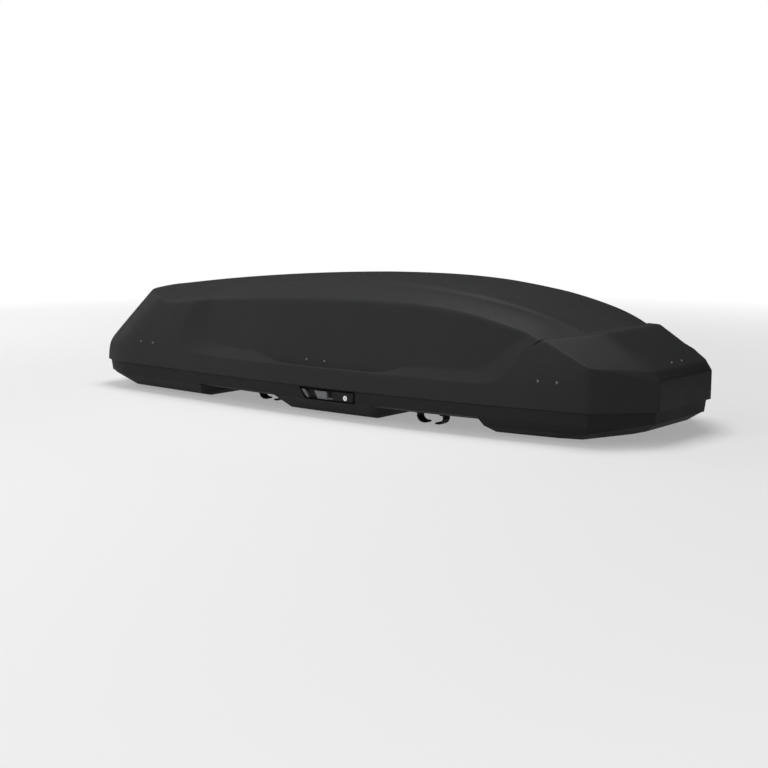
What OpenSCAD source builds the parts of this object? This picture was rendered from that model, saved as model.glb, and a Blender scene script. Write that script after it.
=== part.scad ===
// Roof cargo box that opens from either side. Millimetres, X to the nose, Y to the left, Z up.
// The origin lies under the middle of the box, on the plane that its pods stand on.

/* [Overall] */
// Length from tail to nose
length = 2150; // [1790:10:2600]
// Greatest width, over the lid's skirt
width = 910; // [760:10:1000]
// Depth of the base, from the parting plane down to the pods
base_depth = 98; // [92:1:118]
// Height of the roof panel's edge above the parting plane
lid_height = 328; // [280:1:400]

/* [Shell] */
// Wall of the lid
lid_wall = 4; // [3:0.5:6]
// Wall of the base
base_wall = 4; // [3:0.5:6]
// Width of the flat nose, measured at the rim
nose_width = 316; // [260:2:340]
// Width over the two nose corners
corner_width = 616; // [560:2:640]
// Distance of the nose corners behind the nose
corner_back = 138; // [115:1:165]
// Length over which the sides run in towards the nose corners
taper = 1362; // [1150:2:1500]
// How far each side leans in from the rim to the shoulder
side_lean = 60; // [40:1:72]
// Depth of the pressed panel in each side
recess = 15; // [8:1:18]
// Height of the step between nose cap and roof
cap_step = 4; // [2:0.5:6]

/* [Rims] */
// Gap between the lid's skirt and the base's upstand
rim_gap = 2; // [1.5:0.1:3]
// Height of the upstand inside the lid
upstand = 12; // [8:1:16]
// Height of the base's outer wall under the parting plane
base_band = 39; // [36:1:44]
// Depth of the floor between the pods
floor_drop = 55; // [50:1:62]

/* [Hinges and locks] */
// Depth of the hinge axes under the parting plane
axis_drop = 25; // [22:1:28]
// Distance of the hinge axes from the centre at the front hinge
axis_y_front = 288; // [280:1:292]
// Distance of the hinge axes from the centre at the rear hinge
axis_y_rear = 414; // [396:1:418]
// Front hinges, behind the nose
hinge_front = 261; // [240:1:300]
// Rear hinges, ahead of the tail
hinge_rear = 280; // [260:1:320]
// Radius of the lid's hinge pins
pin_r = 5; // [4:0.25:6]
// Running gap of pins, bushes and pivots
run_gap = 0.4; // [0.3:0.05:0.6]
// Travel of the lock slides
lock_travel = 22; // [18:1:24]

/* [Lid lifters] */
// Front lifter, behind the nose
lifter_front = 150; // [146:1:170]
// Rear lifter, ahead of the tail
lifter_rear = 190; // [184:1:200]
// Height of the lifter's lid pivot over the hinge axes, and of its floor pivot under them
lifter_rise = 22; // [18:1:26]

/* [Clamps] */
// Front clamps, behind the nose
clamp_front = 710; // [640:1:712]
// Rear clamps, ahead of the tail
clamp_rear = 740; // [710:1:760]
// Distance of the clamps from the centre
clamp_y = 275; // [240:1:290]
// Length of each floor slot
slot_length = 210; // [160:2:230]
// Width of each floor slot
slot_width = 26; // [22:1:32]
// Widest crossbar that the claws take
bar_width = 80; // [64:1:84]

/* [Hidden] */
$fn = 48;
EPS = 0.01;

charcoal = [0.17, 0.18, 0.19];
black = [0.05, 0.05, 0.05];
steel = [0.62, 0.63, 0.65];
grey = [0.55, 0.56, 0.57];

// ---- Places that every piece shares ----
nose = length / 2;
tail = -length / 2;
half = width / 2;
part_z = base_depth;
axis_z = part_z - axis_drop;
function from_nose(d) = nose - d;
function from_tail(d) = tail + d;
function mix(a, b, t) = a + (b - a) * t;
function clamp01(t) = max(0, min(1, t));

// ---- Plan of the rim ----
corner_x = from_nose(corner_back);
nose_half = nose_width / 2;
corner_half = corner_width / 2;
tail_round = [175, 75];
tail_x = tail + tail_round[0];
tail_half = half - tail_round[1];

// Half width of the rim along the sides, between the tail's corners and the nose's corners
function rim_half(x) =
    corner_half + (half - corner_half) * (1 - pow(clamp01((x - corner_x + taper) / taper), 2.1));
function rim_slope(x) = atan((rim_half(x + 1) - rim_half(x - 1)) / 2);

// ---- Lines of the lid ----
shoulder_z = lid_height - 51;
shoulder_peak = from_nose(900);
roof_peak = from_nose(1000);
roof_half = 209;
crown = 5;
skirt_z = 60;
bevel_z = 32;

// Height of the shoulder line over the parting plane
function shoulder(x) = x < shoulder_peak
    ? shoulder_z - 98 * pow((shoulder_peak - x) / (shoulder_peak - tail), 2)
    : shoulder_z - 271 * pow((x - shoulder_peak) / (nose - shoulder_peak), 2.9);
// Height of the roof panel's edge
function roof(x) = x < roof_peak
    ? lid_height - 82 * pow((roof_peak - x) / (roof_peak - tail), 2)
    : lid_height - 160 * pow((x - roof_peak) / (nose - roof_peak), 2)
        - 210 * pow((x - roof_peak) / (nose - roof_peak), 8);
// Half width of the roof panel
function roof_edge(x) = roof_half - 36 * clamp01(abs((x - roof_peak) / 1000)) * sign(x - roof_peak);
// How far the side has leaned in at height z
function lean(z) = side_lean * pow(max(z, 0) / shoulder_z, 1.4);
// Strength of the trough beside the roof panel, which fades out at both ends
function trough(x) = clamp01((x - from_tail(230)) / 260) * clamp01((from_nose(330) - x) / 260);

// ---- Columns of the lid's surface grid ----
// A column crosses the lid from the rim to the spine. A side column is
// [x in rows 0 to 4], share of the recess depth, 1 where the recess ends in a step.
function straight(x, inside = 1, step = 0) = [[x, x, x, x, x], inside, step];
recess_rear_outer = [[from_tail(493), from_tail(493), from_tail(445), from_tail(460), from_tail(502)], 0, 0];
recess_rear_inner = [[from_tail(588), from_tail(588), from_tail(588), from_tail(550), from_tail(591)], 1, 0];
recess_front_inner = [[from_nose(474), from_nose(474), from_nose(474), from_nose(412), from_nose(340)], 1, 0];
recess_front_outer = [[from_nose(445), from_nose(432), from_nose(390), from_nose(355), from_nose(305)], 0, 0];
step_rear = from_tail(896);
step_front = from_nose(794);
step_run = 48;
side_columns = concat(
    [
        [[from_tail(334), from_tail(340), from_tail(352), from_tail(390), from_tail(426)], 0, 0],
        recess_rear_outer, recess_rear_inner
    ],
    [for (k = [1:3]) straight(mix(from_tail(588), step_rear - step_run, k / 3))],
    [for (k = [0:6]) straight(mix(step_rear, step_front, k / 6), 1, 1)],
    [for (k = [0:3]) straight(mix(step_front + step_run, from_nose(520), k / 3))],
    [recess_front_inner, recess_front_outer]
);

// A rim inset o everywhere gives the lid's inner face, so each point takes the inset.
function side_point(c, row, o) =
    let (
        x = c[0][row],
        step_z = c[2] > 0 ? 0.6 : bevel_z,
        z = row == 0 ? 0 : row == 1 ? skirt_z : row == 2 ? skirt_z + step_z
            : row == 3 ? mix(skirt_z + bevel_z, shoulder(x), 0.5) : shoulder(x),
        deep = row < 2 ? 0 : recess * c[1] * (row == 2 ? 1 : row == 3 ? 0.85 : 0.45)
    )
    [x, rim_half(x) - lean(z) - deep - o, row == 4 ? z - 0.6 * o : z];

// Rows 4 to 12 climb from the shoulder over the band and trough to the roof panel and spine.
function top_point(shoulder_pt, edge_pt, spine_x, row, o, dip) =
    let (
        t = [0, 0.34, 0.66, 0.87, 1][min(row - 4, 4)],
        rise = [0, 0.52, 0.82, 0.93, 1][min(row - 4, 4)],
        r = clamp01((row - 8) / 4)
    )
    row <= 8
        ? [mix(shoulder_pt[0], edge_pt[0], t), mix(shoulder_pt[1], edge_pt[1], t) - (row == 4 ? 0 : 0.2 * o),
            mix(shoulder_pt[2], edge_pt[2], rise) - (row == 7 ? dip : 0) - (row == 4 ? 0 : o)]
        : [mix(edge_pt[0], spine_x, r), edge_pt[1] * (1 - r) - (r < 1 ? 0.2 * o : 0),
            roof(mix(edge_pt[0], spine_x, r)) + crown * (1 - pow(1 - r, 2)) - o];

function side_column(c, o) =
    let (xs = c[0][4], a = side_point(c, 4, o), edge = [xs, roof_edge(xs), roof(xs)])
    [for (row = [0:12]) row < 4 ? side_point(c, row, o)
        : top_point(a, edge, xs, row, o, 8 * trough(xs))];

// The tail: columns fan round the corner from the side to the middle of the raked rear wall.
tail_steps = 6;
tail_roof = [from_tail(350), 165, 300, 108];
tail_spine = [from_tail(419), from_tail(367)];
function tail_column(t, o) =
    let (
        turn = 90 * clamp01(t),
        along = 1 - clamp01(t - 1),
        cx = tail_x - (tail_round[0] - o) * sin(turn),
        cy = (tail_half + (tail_round[1] - o) * cos(turn)) * along,
        ax = tail_roof[0] - tail_roof[1] * sin(turn),
        ay = (tail_roof[2] + tail_roof[3] * cos(turn) - o) * along,
        az = mix(shoulder(tail_roof[0]), roof(ax) - 8, sin(turn)) - 0.6 * o,
        ex = mix(tail_roof[0] + 20, ax + 70, sin(turn)),
        ey = min(ay, roof_edge(ex)) * mix(1, 0.94, sin(turn))
    )
    [for (row = [0:12])
        let (
            bevel_top = skirt_z + bevel_z,
            z = row == 0 ? 0 : row == 1 ? skirt_z : row == 2 ? bevel_top : mix(bevel_top, az, 0.5),
            f = row < 2 ? 0.02 * row : (z - skirt_z) / (az - skirt_z)
        )
        row < 4 ? [mix(cx, ax, f), mix(cy, ay, f) - (1 - sin(turn)) * (lean(z) - f * lean(az)), z]
        : top_point([ax, ay, az], [ex, ey, roof(ex)],
            mix(tail_spine[0], tail_spine[1], sin(turn)), row, o, 0)];

// The nose cap: its rear line, its lip, its facets' top line and the nose corners.
cap_side_z = 193;
cap_edge = [from_nose(228), 176, 206];
cap_spine = from_nose(186);
facet = [from_nose(174.5), 163.4, 208.4];
facet_spine = from_nose(166);
brow = [from_nose(15), 113];
chin_z = 88;
corner_z = 126;
function cap_point(row, side_pt, edge_pt, spine_pt, o) =
    let (t = (row - 4) / 4, r = (row - 8) / 4)
    row <= 8
        ? [for (k = [0:2]) mix(side_pt[k], edge_pt[k], t) - [0, 0.5, row == 4 ? 0.6 : 1][k] * o]
        : [mix(edge_pt[0], spine_pt[0], r), edge_pt[1] * (1 - r) - (row < 12 ? 0.5 * o : 0),
            mix(edge_pt[2], spine_pt[1], r) - o];
function cap_column(c, side_pt, edge_pt, spine_pt, o) =
    [for (row = [0:12]) row < 4 ? side_point(c, row, o) : cap_point(row, side_pt, edge_pt, spine_pt, o)];
function lip_shift(d, up) = [[for (x = recess_front_outer[0]) x + d], 0, up];
cap_shoulder = [from_nose(305), rim_half(from_nose(305)) - lean(cap_side_z), cap_side_z];
rear_line = function(o) cap_column(recess_front_outer, cap_shoulder, cap_edge, [cap_spine, 213], o);
lip_line = function(o) cap_column(lip_shift(3, 0), cap_shoulder + [3, 0, cap_step * 0.5],
    cap_edge + [3, 0, cap_step], [cap_spine + 3, 213 + cap_step * 0.6], o);
facet_line = function(o) cap_column(lip_shift(14, 0), cap_shoulder + [14, -1, cap_step * 0.5],
    facet + [0, 0, cap_step * 0.5], [facet_spine, 213], o);
function corner_column(o) = [for (row = [0:12])
    row <= 4
        ? let (z = [0, skirt_z, skirt_z + bevel_z, 110, corner_z][row])
            [corner_x + 1 - 0.4 * o, corner_half - 0.05 * lean(z) - o, z - (row == 4 ? 0.6 * o : 0)]
        : row <= 8
            ? let (t = (row - 4) / 4) [mix(corner_x, brow[0], t) - 0.7 * o,
                mix(corner_half - 2, nose_half, t) - 0.7 * o, mix(corner_z, brow[1], t) - o]
            : [brow[0] - 0.7 * o, nose_half * (1 - (row - 8) / 4) - (row < 12 ? 0.4 * o : 0), brow[1] - o]];
// Columns between the cap's facets and the nose corner, which keep the curve of the rim.
function nose_side(t, o) = let (a = facet_line(o), b = corner_column(o)) [for (row = [0:12])
    let (
        p = mix(a[row], b[row], t),
        bulge = rim_half(p[0]) - mix(rim_half(a[row][0]), rim_half(b[row][0]), t)
    )
    [p[0], p[1] + bulge * [1, 1, 0.8, 0.4, 0][min(row, 4)], p[2]]];
function lid_grid(o) = concat(
    [for (k = [0:2]) tail_column(2 - k / 2.5, o)],
    [for (k = [tail_steps:-1:0]) tail_column(k / tail_steps, o)],
    [for (c = side_columns) if (c != recess_front_outer) side_column(c, o)],
    [rear_line(o), lip_line(o), facet_line(o), nose_side(1 / 3, o), nose_side(2 / 3, o), corner_column(o)]
);
// The vertical faces of the nose: columns 4 to 12 run from the corner to the middle.
function nose_plan(k, o) = k <= 8
    ? [mix(corner_x, nose, (k - 4) / 4) - 0.7 * o, mix(corner_half, nose_half, (k - 4) / 4) - 0.7 * o]
    : [nose - o, nose_half * (1 - (k - 8) / 4) - (k < 12 ? 0.4 * o : 0)];
function nose_top(k) = k <= 8 ? mix(corner_z, chin_z, (k - 4) / 4) : chin_z;
function nose_grid(o) = [for (k = [5:12]) [for (row = [0:4])
    let (
        p = nose_plan(k, o),
        z = [0, skirt_z, skirt_z + bevel_z, 110, corner_z][row] / corner_z * nose_top(k)
    )
    [p[0], p[1], z - (row == 4 ? 0.5 * o : 0)]]];

// Half of the lid as a closed solid: the skin, the flat cut on the centre plane and the rim plane.
module lid_half(o) {
    main = lid_grid(o);
    front = nose_grid(o);
    cols = len(main);
    count = cols * 13;
    low = 4 * EPS;
    function m(i, j) = i * 13 + j;
    function f(k, j) = k == 4 ? m(cols - 1, j) : count + (k - 5) * 5 + j;
    pts = concat([for (c = main) each c], [for (c = front) each c], [[main[1][12][0], 0, 0]]);
    flat = [for (p = pts) [p[0], max(0, p[1]), max(0, p[2])]];
    skin = [for (i = [0:cols - 2]) for (j = [0:11])
        each [[m(i, j), m(i + 1, j), m(i + 1, j + 1)], [m(i, j), m(i + 1, j + 1), m(i, j + 1)]]];
    face = [for (k = [4:11]) for (j = [0:3])
        each [[f(k, j), f(k + 1, j), f(k + 1, j + 1)], [f(k, j), f(k + 1, j + 1), f(k, j + 1)]]];
    brow_strip = [for (k = [4:11])
        each k == 4
            ? [[f(4, 4), f(5, 4), m(cols - 1, 5)]]
            : [[m(cols - 1, k), f(k, 4), f(k + 1, 4)], [m(cols - 1, k), f(k + 1, 4), m(cols - 1, k + 1)]]];
    centre = concat([for (j = [0:11]) m(0, j)], [for (i = [0:cols - 1]) m(i, 12)],
        [for (j = [4:-1:0]) f(12, j)]);
    rim = concat([for (k = [12:-1:5]) f(k, 0)], [for (i = [cols - 1:-1:0]) m(i, 0)]);
    polyhedron(points = flat, faces = concat(skin, face, brow_strip, [centre, rim]), convexity = 8);
}

// ---- Hinge axes: straight lines that close in towards the nose ----
hinge_x = [from_tail(hinge_rear), 0, from_nose(hinge_front)];
skew = atan((axis_y_rear - axis_y_front) / (hinge_x[2] - hinge_x[0]));
axis_y_mid = mix(axis_y_rear, axis_y_front, -hinge_x[0] / (hinge_x[2] - hinge_x[0]));
function axis_y(x) = axis_y_mid - x * tan(skew);
hinge_s = [for (x = hinge_x) x / cos(skew)];

// Draws its children for the left side, or mirrored for the right.
module on_side(left) mirror([0, left ? 0 : 1, 0]) children();
// The frame of a hinge axis: X along the axis, Y outwards, Z up.
module axis_frame(left) on_side(left) translate([0, axis_y_mid, axis_z]) rotate([0, 0, -skew]) children();

// ---- Rivets and the seats of the lid's brackets ----
rivet_z = 80;
rivet_pitch = [64, 73, 58];
rivet_hole_r = 1.95;
seat_proud = 1.5;
function front_run(z) = from_nose(mix(418, 376, (z - skirt_z) / bevel_z));
// The lid's side at hinge i, where the lean fades out between the cap and the nose corner
function seat_side(i, x, z) = rim_half(x) - (i == 1 ? recess : 0)
    - lean(z) * (i == 2 ? mix(1, 0.05, (x - front_run(z)) / (corner_x - front_run(z))) : 1);
function seat_y(i) = seat_side(i, hinge_x[i], rivet_z) - lid_wall - seat_proud;
function seat_near(i, dx, dz) = seat_side(i, hinge_x[i] + dx, rivet_z + dz);
function seat_turn(i) = atan((seat_near(i, 1, 0) - seat_near(i, -1, 0)) / 2);
function seat_tilt(i) = atan((seat_near(i, 0, -1) - seat_near(i, 0, 1)) / 2);
// A frame on the inner face of the lid's side at hinge i: X along the wall, Y outwards, Z up the wall.
module seat_frame(i, left) on_side(left) translate([hinge_x[i], seat_y(i), part_z + rivet_z])
    rotate([0, 0, seat_turn(i)]) rotate([seat_tilt(i), 0, 0]) children();
// The seat on the nose's top face, and the one on the rear wall.
nose_fall = atan((211.5 - brow[1]) / (facet_spine - brow[0]));
nose_rivet_x = from_nose(36);
nose_skin = lid_wall + seat_proud + 1.5;
module nose_seat_frame() translate([nose_rivet_x, 0, part_z + brow[1] + (brow[0] - nose_rivet_x)
    * tan(-nose_fall) - nose_skin]) rotate([0, -nose_fall, 0]) children();
tail_rivet_z = 34;
tail_tilt = atan(0.02 * (tail_roof[0] - tail_roof[1] - tail) / skirt_z);
module tail_seat_frame() translate([tail + lid_wall + seat_proud + tail_rivet_z * tan(tail_tilt), 0,
    part_z + tail_rivet_z]) rotate([0, tail_tilt, 0]) rotate([0, 0, 90]) children();
end_pitch = 58;
module rivet_pair(pitch) for (s = [-1, 1]) translate([s * pitch / 2, 0, 0]) children();

module seat_pad(pitch) hull() rivet_pair(pitch) rotate([-90, 0, 0])
    cylinder(r = 11, h = lid_wall + seat_proud - 1.5, $fn = 24);
module hole_pair(pitch, r, depth) rivet_pair(pitch) rotate([-90, 0, 0])
    translate([0, 0, -depth]) cylinder(r = r, h = 2 * depth, $fn = 24);

// A strip of thickness t along a path of points in a plane.
function unit(v) = v / norm(v);
function turned(v) = [-v[1], v[0]];
function mitre(path, k) = let (
        a = unit(path[max(1, k)] - path[max(1, k) - 1]),
        b = unit(path[min(len(path) - 1, k + 1)] - path[min(len(path) - 1, k + 1) - 1]),
        n = unit(turned(a) + turned(b))
    ) n / (n * turned(a));
module strip(path, t) polygon(concat(
    [for (k = [0:len(path) - 1]) path[k] + mitre(path, k) * t / 2],
    [for (k = [len(path) - 1:-1:0]) path[k] - mitre(path, k) * t / 2]));
module lid_skin(o) for (side = [0, 1]) mirror([0, side, 0]) lid_half(o);
module lid_shell() color(charcoal) difference() {
    union() {
        translate([0, 0, part_z]) difference() {
            lid_skin(0);
            translate([0, 0, -EPS]) lid_skin(lid_wall);
        }
        for (left = [true, false]) for (i = [0:2]) seat_frame(i, left) seat_pad(rivet_pitch[i]);
        nose_seat_frame() rotate([90, 0, 90]) seat_pad(end_pitch);
        tail_seat_frame() seat_pad(end_pitch);
    }
    for (left = [true, false]) for (i = [0:2])
        seat_frame(i, left) hole_pair(rivet_pitch[i], rivet_hole_r, 12);
    nose_seat_frame() rotate([90, 0, 90]) hole_pair(end_pitch, rivet_hole_r, 12);
    tail_seat_frame() hole_pair(end_pitch, rivet_hole_r, 12);
}

// A blind rivet: a low dome outside, the shank and a set head inside, from y = 0 on the bracket's face.
bracket_t = 3;
module rivet(skin) rotate([-90, 0, 0]) {
    translate([0, 0, -bracket_t - 2]) cylinder(r = 4, h = 1.8, $fn = 24);
    translate([0, 0, -bracket_t - 0.3])
        cylinder(r = rivet_hole_r - 0.2, h = bracket_t + skin + 0.6, $fn = 24);
    translate([0, 0, skin + 0.1]) cylinder(r1 = 4.4, r2 = 2.2, h = 1.8, $fn = 24);
}
module lid_rivets() color(steel) {
    skin = lid_wall + seat_proud;
    for (left = [true, false]) for (i = [0:2]) seat_frame(i, left) rivet_pair(rivet_pitch[i]) rivet(skin);
    nose_seat_frame() rotate([90, 0, 90]) rivet_pair(end_pitch) rivet(nose_skin * cos(nose_fall));
    tail_seat_frame() rivet_pair(end_pitch) rivet(skin);
}

// Hat-section bows under the roof, swept along the lid's own inner surface.
bow_x = [from_nose(650), from_tail(700)];
bow_w = 64;
bow_deep = 15;
bow_t = 2;
bow_bond = 1.3;
function bow_line(x, o) = [for (row = [5:12]) side_column(straight(x, 0), o)[row]];
module roof_bow(x) {
    across = [0, 14, 20, bow_w - 20, bow_w - 14, bow_w];
    down = [0, 0, bow_deep, bow_deep, 0, 0];
    seat = lid_wall + bow_bond;
    half_lines = function(extra) [for (k = [0:5]) bow_line(x + across[k], seat + down[k] + extra)];
    whole = function(line) concat([for (p = line) [p[0], p[1], p[2]]],
        [for (k = [6:-1:0]) [line[k][0], -line[k][1], line[k][2]]]);
    rows = concat([for (l = half_lines(0)) whole(l)], [for (k = [5:-1:0]) whole(half_lines(bow_t)[k])]);
    n = len(rows[0]);
    ring = len(rows);
    pts = [for (r = rows) each r];
    skin = [for (i = [0:ring - 1]) for (j = [0:n - 2]) let (a = i * n + j, b = ((i + 1) % ring) * n + j)
        each [[a, b + 1, a + 1], [a, b, b + 1]]];
    ends = [[for (i = [ring - 1:-1:0]) i * n], [for (i = [0:ring - 1]) i * n + n - 1]];
    translate([0, 0, part_z]) polyhedron(points = pts, faces = concat(skin, ends), convexity = 6);
}
module roof_bows() color(black) for (x = bow_x) roof_bow(x - bow_w / 2);

// ---- Base ----
// Plan of the rim, inset o along the sides and e at the ends.
function plan_half(o, e) = concat(
    [for (k = [0:8]) let (a = 90 - 11.25 * k)
        [tail_x - (tail_round[0] - e) * sin(a), tail_half - o + tail_round[1] * cos(a)]],
    [for (k = [1:16]) let (x = mix(tail_x, corner_x, k / 16)) [x - (k == 16 ? 0.4 * e : 0), rim_half(x) - o]],
    [[nose - e, nose_half - 0.4 * o - 0.4 * e]]
);
function plan(o, e) = let (h = plan_half(o, e))
    concat([for (p = h) [p[0], p[1]]], [for (k = [len(h) - 1:-1:0]) [h[k][0], -h[k][1]]]);
module slice(z, o, e, x0 = tail, x1 = nose) translate([0, 0, part_z + z]) linear_extrude(EPS)
    intersection() {
        polygon(plan(o, e));
        translate([x0, -half]) square([x1 - x0, width]);
    }
lip_o = lid_wall + rim_gap;
band_o = lid_wall + 1;
band_e = 12;
pod_edge = 42;
front_pod_x = from_nose(480);
rear_pod_x = from_tail(563);
mid_pod = [-165, 232];

// The pods and the pan between them: the outside of the base for w = 0, the inside for w = the wall.
module front_pod(w) hull() {
    slice(-base_band + 2 + w, band_o + 4 + w, band_e + 5 + w, front_pod_x + w, nose);
    slice(-66 + w, 26 + w, 58 + w, front_pod_x + 14 + w, nose);
    slice(-86 + w, 52 + w, 120 + w, front_pod_x + 38 + w, nose);
    slice(-base_depth + w, 120 + w, 250 + w, front_pod_x + 70 + w, nose);
}
module middle_pod(w) hull() {
    slice(-base_band + 2 + w, band_o + 4 + w, 60 + w, mid_pod[0] + w, mid_pod[1] - w);
    slice(-pod_edge + w, band_o + 4 + w, 60 + w, mid_pod[0] + w, mid_pod[1] - w);
    slice(-84 + w, 50 + w, 90 + w, mid_pod[0] + 40 + w, mid_pod[1] - 40 - w);
    slice(-base_depth + w, 110 + w, 90 + w, mid_pod[0] + 56 + w, mid_pod[1] - 56 - w);
}
module rear_pod(w) hull() {
    slice(-base_band + 2 + w, band_o + 4 + w, band_e + 5 + w, tail, rear_pod_x - w);
    slice(-pod_edge - 6 + w, band_o + 8 + w, 34 + w, tail, rear_pod_x - 6 - w);
    slice(-84 + w, 50 + w, 150 + w, tail, rear_pod_x - 40 - w);
    slice(-base_depth + w, 110 + w, 260 + w, tail, rear_pod_x - 62 - w);
}
module base_body(w) {
    top = w > 0 ? upstand + 1 : upstand;
    hull() { slice(top, lip_o + w, lip_o + w + 2); slice(-2 - EPS, lip_o + w, lip_o + w + 2); }
    hull() { slice(-2, band_o + w, band_e + w); slice(-base_band + w, band_o + 3 + w, band_e + 4 + w); }
    hull() { slice(-base_band + w, band_o + 3 + w, band_e + 4 + w); slice(-floor_drop + w, 62 + w, 90 + w); }
    front_pod(w);
    middle_pod(w);
    rear_pod(w);
}
clamp_x = [from_tail(clamp_rear), from_nose(clamp_front)];
module slot_shape(grow = 0) hull() for (s = [-1, 1])
    translate([s * (slot_length - slot_width) / 2, 0]) circle(d = slot_width + 2 * grow, $fn = 32);
module each_slot() for (x = clamp_x) for (s = [-1, 1]) translate([x, s * clamp_y, 0]) children();

// Lock window: a parallelogram in the side wall, its rear end raked.
lock_mid = from_nose(1014);
lock_len = 225;
lock_hi = -4;
lock_lo = -41;
lock_rake = 26;
module lock_outline(grow) polygon([
    [lock_mid - lock_len / 2 - grow, lock_hi + grow], [lock_mid + lock_len / 2 + grow, lock_hi + grow],
    [lock_mid + lock_len / 2 - 4 + grow, lock_lo - grow],
    [lock_mid - lock_len / 2 + lock_rake - grow, lock_lo - grow]]);
module lock_prism(grow, y0, y1) translate([0, y1, part_z]) rotate([90, 0, 0])
    linear_extrude(y1 - y0) lock_outline(grow);
lock_y = rim_half(lock_mid) - band_o;
lock_turn = rim_slope(lock_mid);
// A frame flat on the base's side wall at the lock.
module lock_frame(left) on_side(left) translate([lock_mid, lock_y, 0]) rotate([0, 0, lock_turn])
    translate([-lock_mid, 0, 0]) children();

module base_shell() color(charcoal) difference() {
    base_body(0);
    translate([0, 0, EPS]) base_body(base_wall);
    each_slot() translate([0, 0, part_z - floor_drop - 5]) linear_extrude(20) slot_shape();
    for (left = [true, false]) lock_frame(left) lock_prism(0.3, -30, 10);
}

// Aluminium plates that stiffen the floor round each slot.
plate_t = 2;
plate_z = part_z - floor_drop + base_wall;
module floor_plates() color(steel) each_slot() translate([0, 0, plate_z + 0.1])
linear_extrude(plate_t) difference() {
    square([slot_length + 44, slot_width + 44], center = true);
    union() {
        square([slot_length - slot_width, slot_width + 1], center = true);
        for (s = [-1, 1]) translate([s * (slot_length - slot_width) / 2, 0]) circle(d = slot_width + 1);
    }
}

// Rubber strip on top of the upstand.
seal_h = 3;
module rim_seal() color(black) translate([0, 0, part_z + upstand + 0.1]) linear_extrude(seal_h) difference() {
    polygon(plan(lip_o + 0.2, lip_o + 2.2));
    polygon(plan(lip_o + base_wall - 0.2, lip_o + 2 + base_wall - 0.2));
}

// ---- Hinge units: housing on the pod's floor, rotary claw, the lid's pin and its swan-neck bracket ----
housing_w = 46;
claw_r = 12;
claw_bore = pin_r + run_gap;
claw_flange = [15, 2];
housing_r = claw_r + run_gap;
block_r = 16.5;
throat = 2 * (pin_r + 1.2);
foot_in = 34;
seat_gap = 0.2;
// Each housing's foot is trimmed to the pod that it stands in.
module hinge_pod(i) {
    if (i == 0) rear_pod(base_wall + seat_gap);
    if (i == 1) middle_pod(base_wall + seat_gap);
    if (i == 2) front_pod(base_wall + seat_gap);
}
module hinge_housing(i, left) difference() {
    union() {
        axis_frame(left) translate([hinge_s[i], 0, 0]) {
            rotate([0, 90, 0]) cylinder(r = block_r, h = housing_w, center = true);
            translate([-housing_w / 2, -block_r, -16]) cube([housing_w, 2 * block_r, 16]);
        }
        intersection() {
            axis_frame(left) translate([hinge_s[i] - housing_w / 2, -foot_in, -axis_z])
                cube([housing_w, foot_in + block_r, axis_z - 14]);
            hinge_pod(i);
        }
    }
    axis_frame(left) translate([hinge_s[i], 0, 0]) {
        rotate([0, 90, 0]) cylinder(r = housing_r, h = housing_w + 2, center = true);
        translate([-housing_w, -throat / 2, 0]) cube([2 * housing_w, throat, 2 * block_r]);
        for (s = [-1, 1]) translate([s * 11 - 8, -foot_in + 4, -axis_z + 16])
            cube([16, foot_in - 2, axis_z - 36]);
    }
}
module hinge_housings(left) for (i = [0:2]) hinge_housing(i, left);
module hinge_housings_left() color(black) hinge_housings(true);
module hinge_housings_right() color(black) hinge_housings(false);

module rotary_claw() difference() {
    union() {
        rotate([0, 90, 0]) cylinder(r = claw_r, h = housing_w + 2 * run_gap, center = true);
        for (s = [-1, 1]) translate([s * (housing_w / 2 + run_gap + claw_flange[1] / 2), 0, 0])
            rotate([0, 90, 0]) cylinder(r = claw_flange[0], h = claw_flange[1], center = true);
    }
    rotate([0, 90, 0]) cylinder(r = claw_bore, h = housing_w + 20, center = true);
    translate([-housing_w, -claw_bore, 0]) cube([2 * housing_w, 2 * claw_bore, 2 * claw_r]);
}
module rotary_claws(left) axis_frame(left) for (s = hinge_s) translate([s, 0, 0]) rotary_claw();
module rotary_claws_left() color(grey) rotary_claws(true);
module rotary_claws_right() color(grey) rotary_claws(false);

pin_span = [-58, 37];
module hinge_pins(left) axis_frame(left) for (s = hinge_s) translate([s + pin_span[0], 0, 0])
    rotate([0, 90, 0]) cylinder(r = pin_r, h = pin_span[1] - pin_span[0]);
module hinge_pins_left() color(steel) hinge_pins(true);
module hinge_pins_right() color(steel) hinge_pins(false);

// Swan-neck plates rise inboard of the rim and turn out over it to the flange on the lid's side.
// The further the rim stands out, the higher the crook has to pass over the upstand when the lid is open.
neck_s = 31;
neck_t = 3;
function bracket_reach(i) = (seat_y(i) - axis_y(hinge_x[i])) * cos(skew);
neck = [[0, 0], [-27, 22], [-35, 60]];
function crook(reach) = [-16, 90 + 0.7 * max(0, reach - 36)];
neck_w = 13;
flange = [26, 30];
flange_step = 12;
module neck_outline(reach) {
    circle(r = pin_r + 4);
    strip(concat(neck, [crook(reach), [reach - 2, axis_drop + rivet_z - flange_step]]), neck_w);
}
module seat_flange(pitch) rotate([90, 0, 0]) translate([0, 0, 0.1]) linear_extrude(bracket_t) difference() {
    square([pitch + flange[0], flange[1]], center = true);
    rivet_pair(pitch) circle(r = rivet_hole_r);
}
module lid_bracket(i, left) {
    reach = bracket_reach(i);
    axis_frame(left) translate([hinge_s[i], 0, 0]) {
        for (s = [-1, 1]) translate([s * (neck_s + neck_t / 2) - neck_t / 2, 0, 0]) rotate([90, 0, 90])
            linear_extrude(neck_t) difference() {
                neck_outline(reach);
                circle(r = pin_r + 0.05);
            }
        translate([-neck_s - neck_t, reach - 24, axis_drop + rivet_z - flange_step])
            cube([2 * (neck_s + neck_t), 20.5, neck_t]);
    }
    seat_frame(i, left) seat_flange(rivet_pitch[i]);
}
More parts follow.
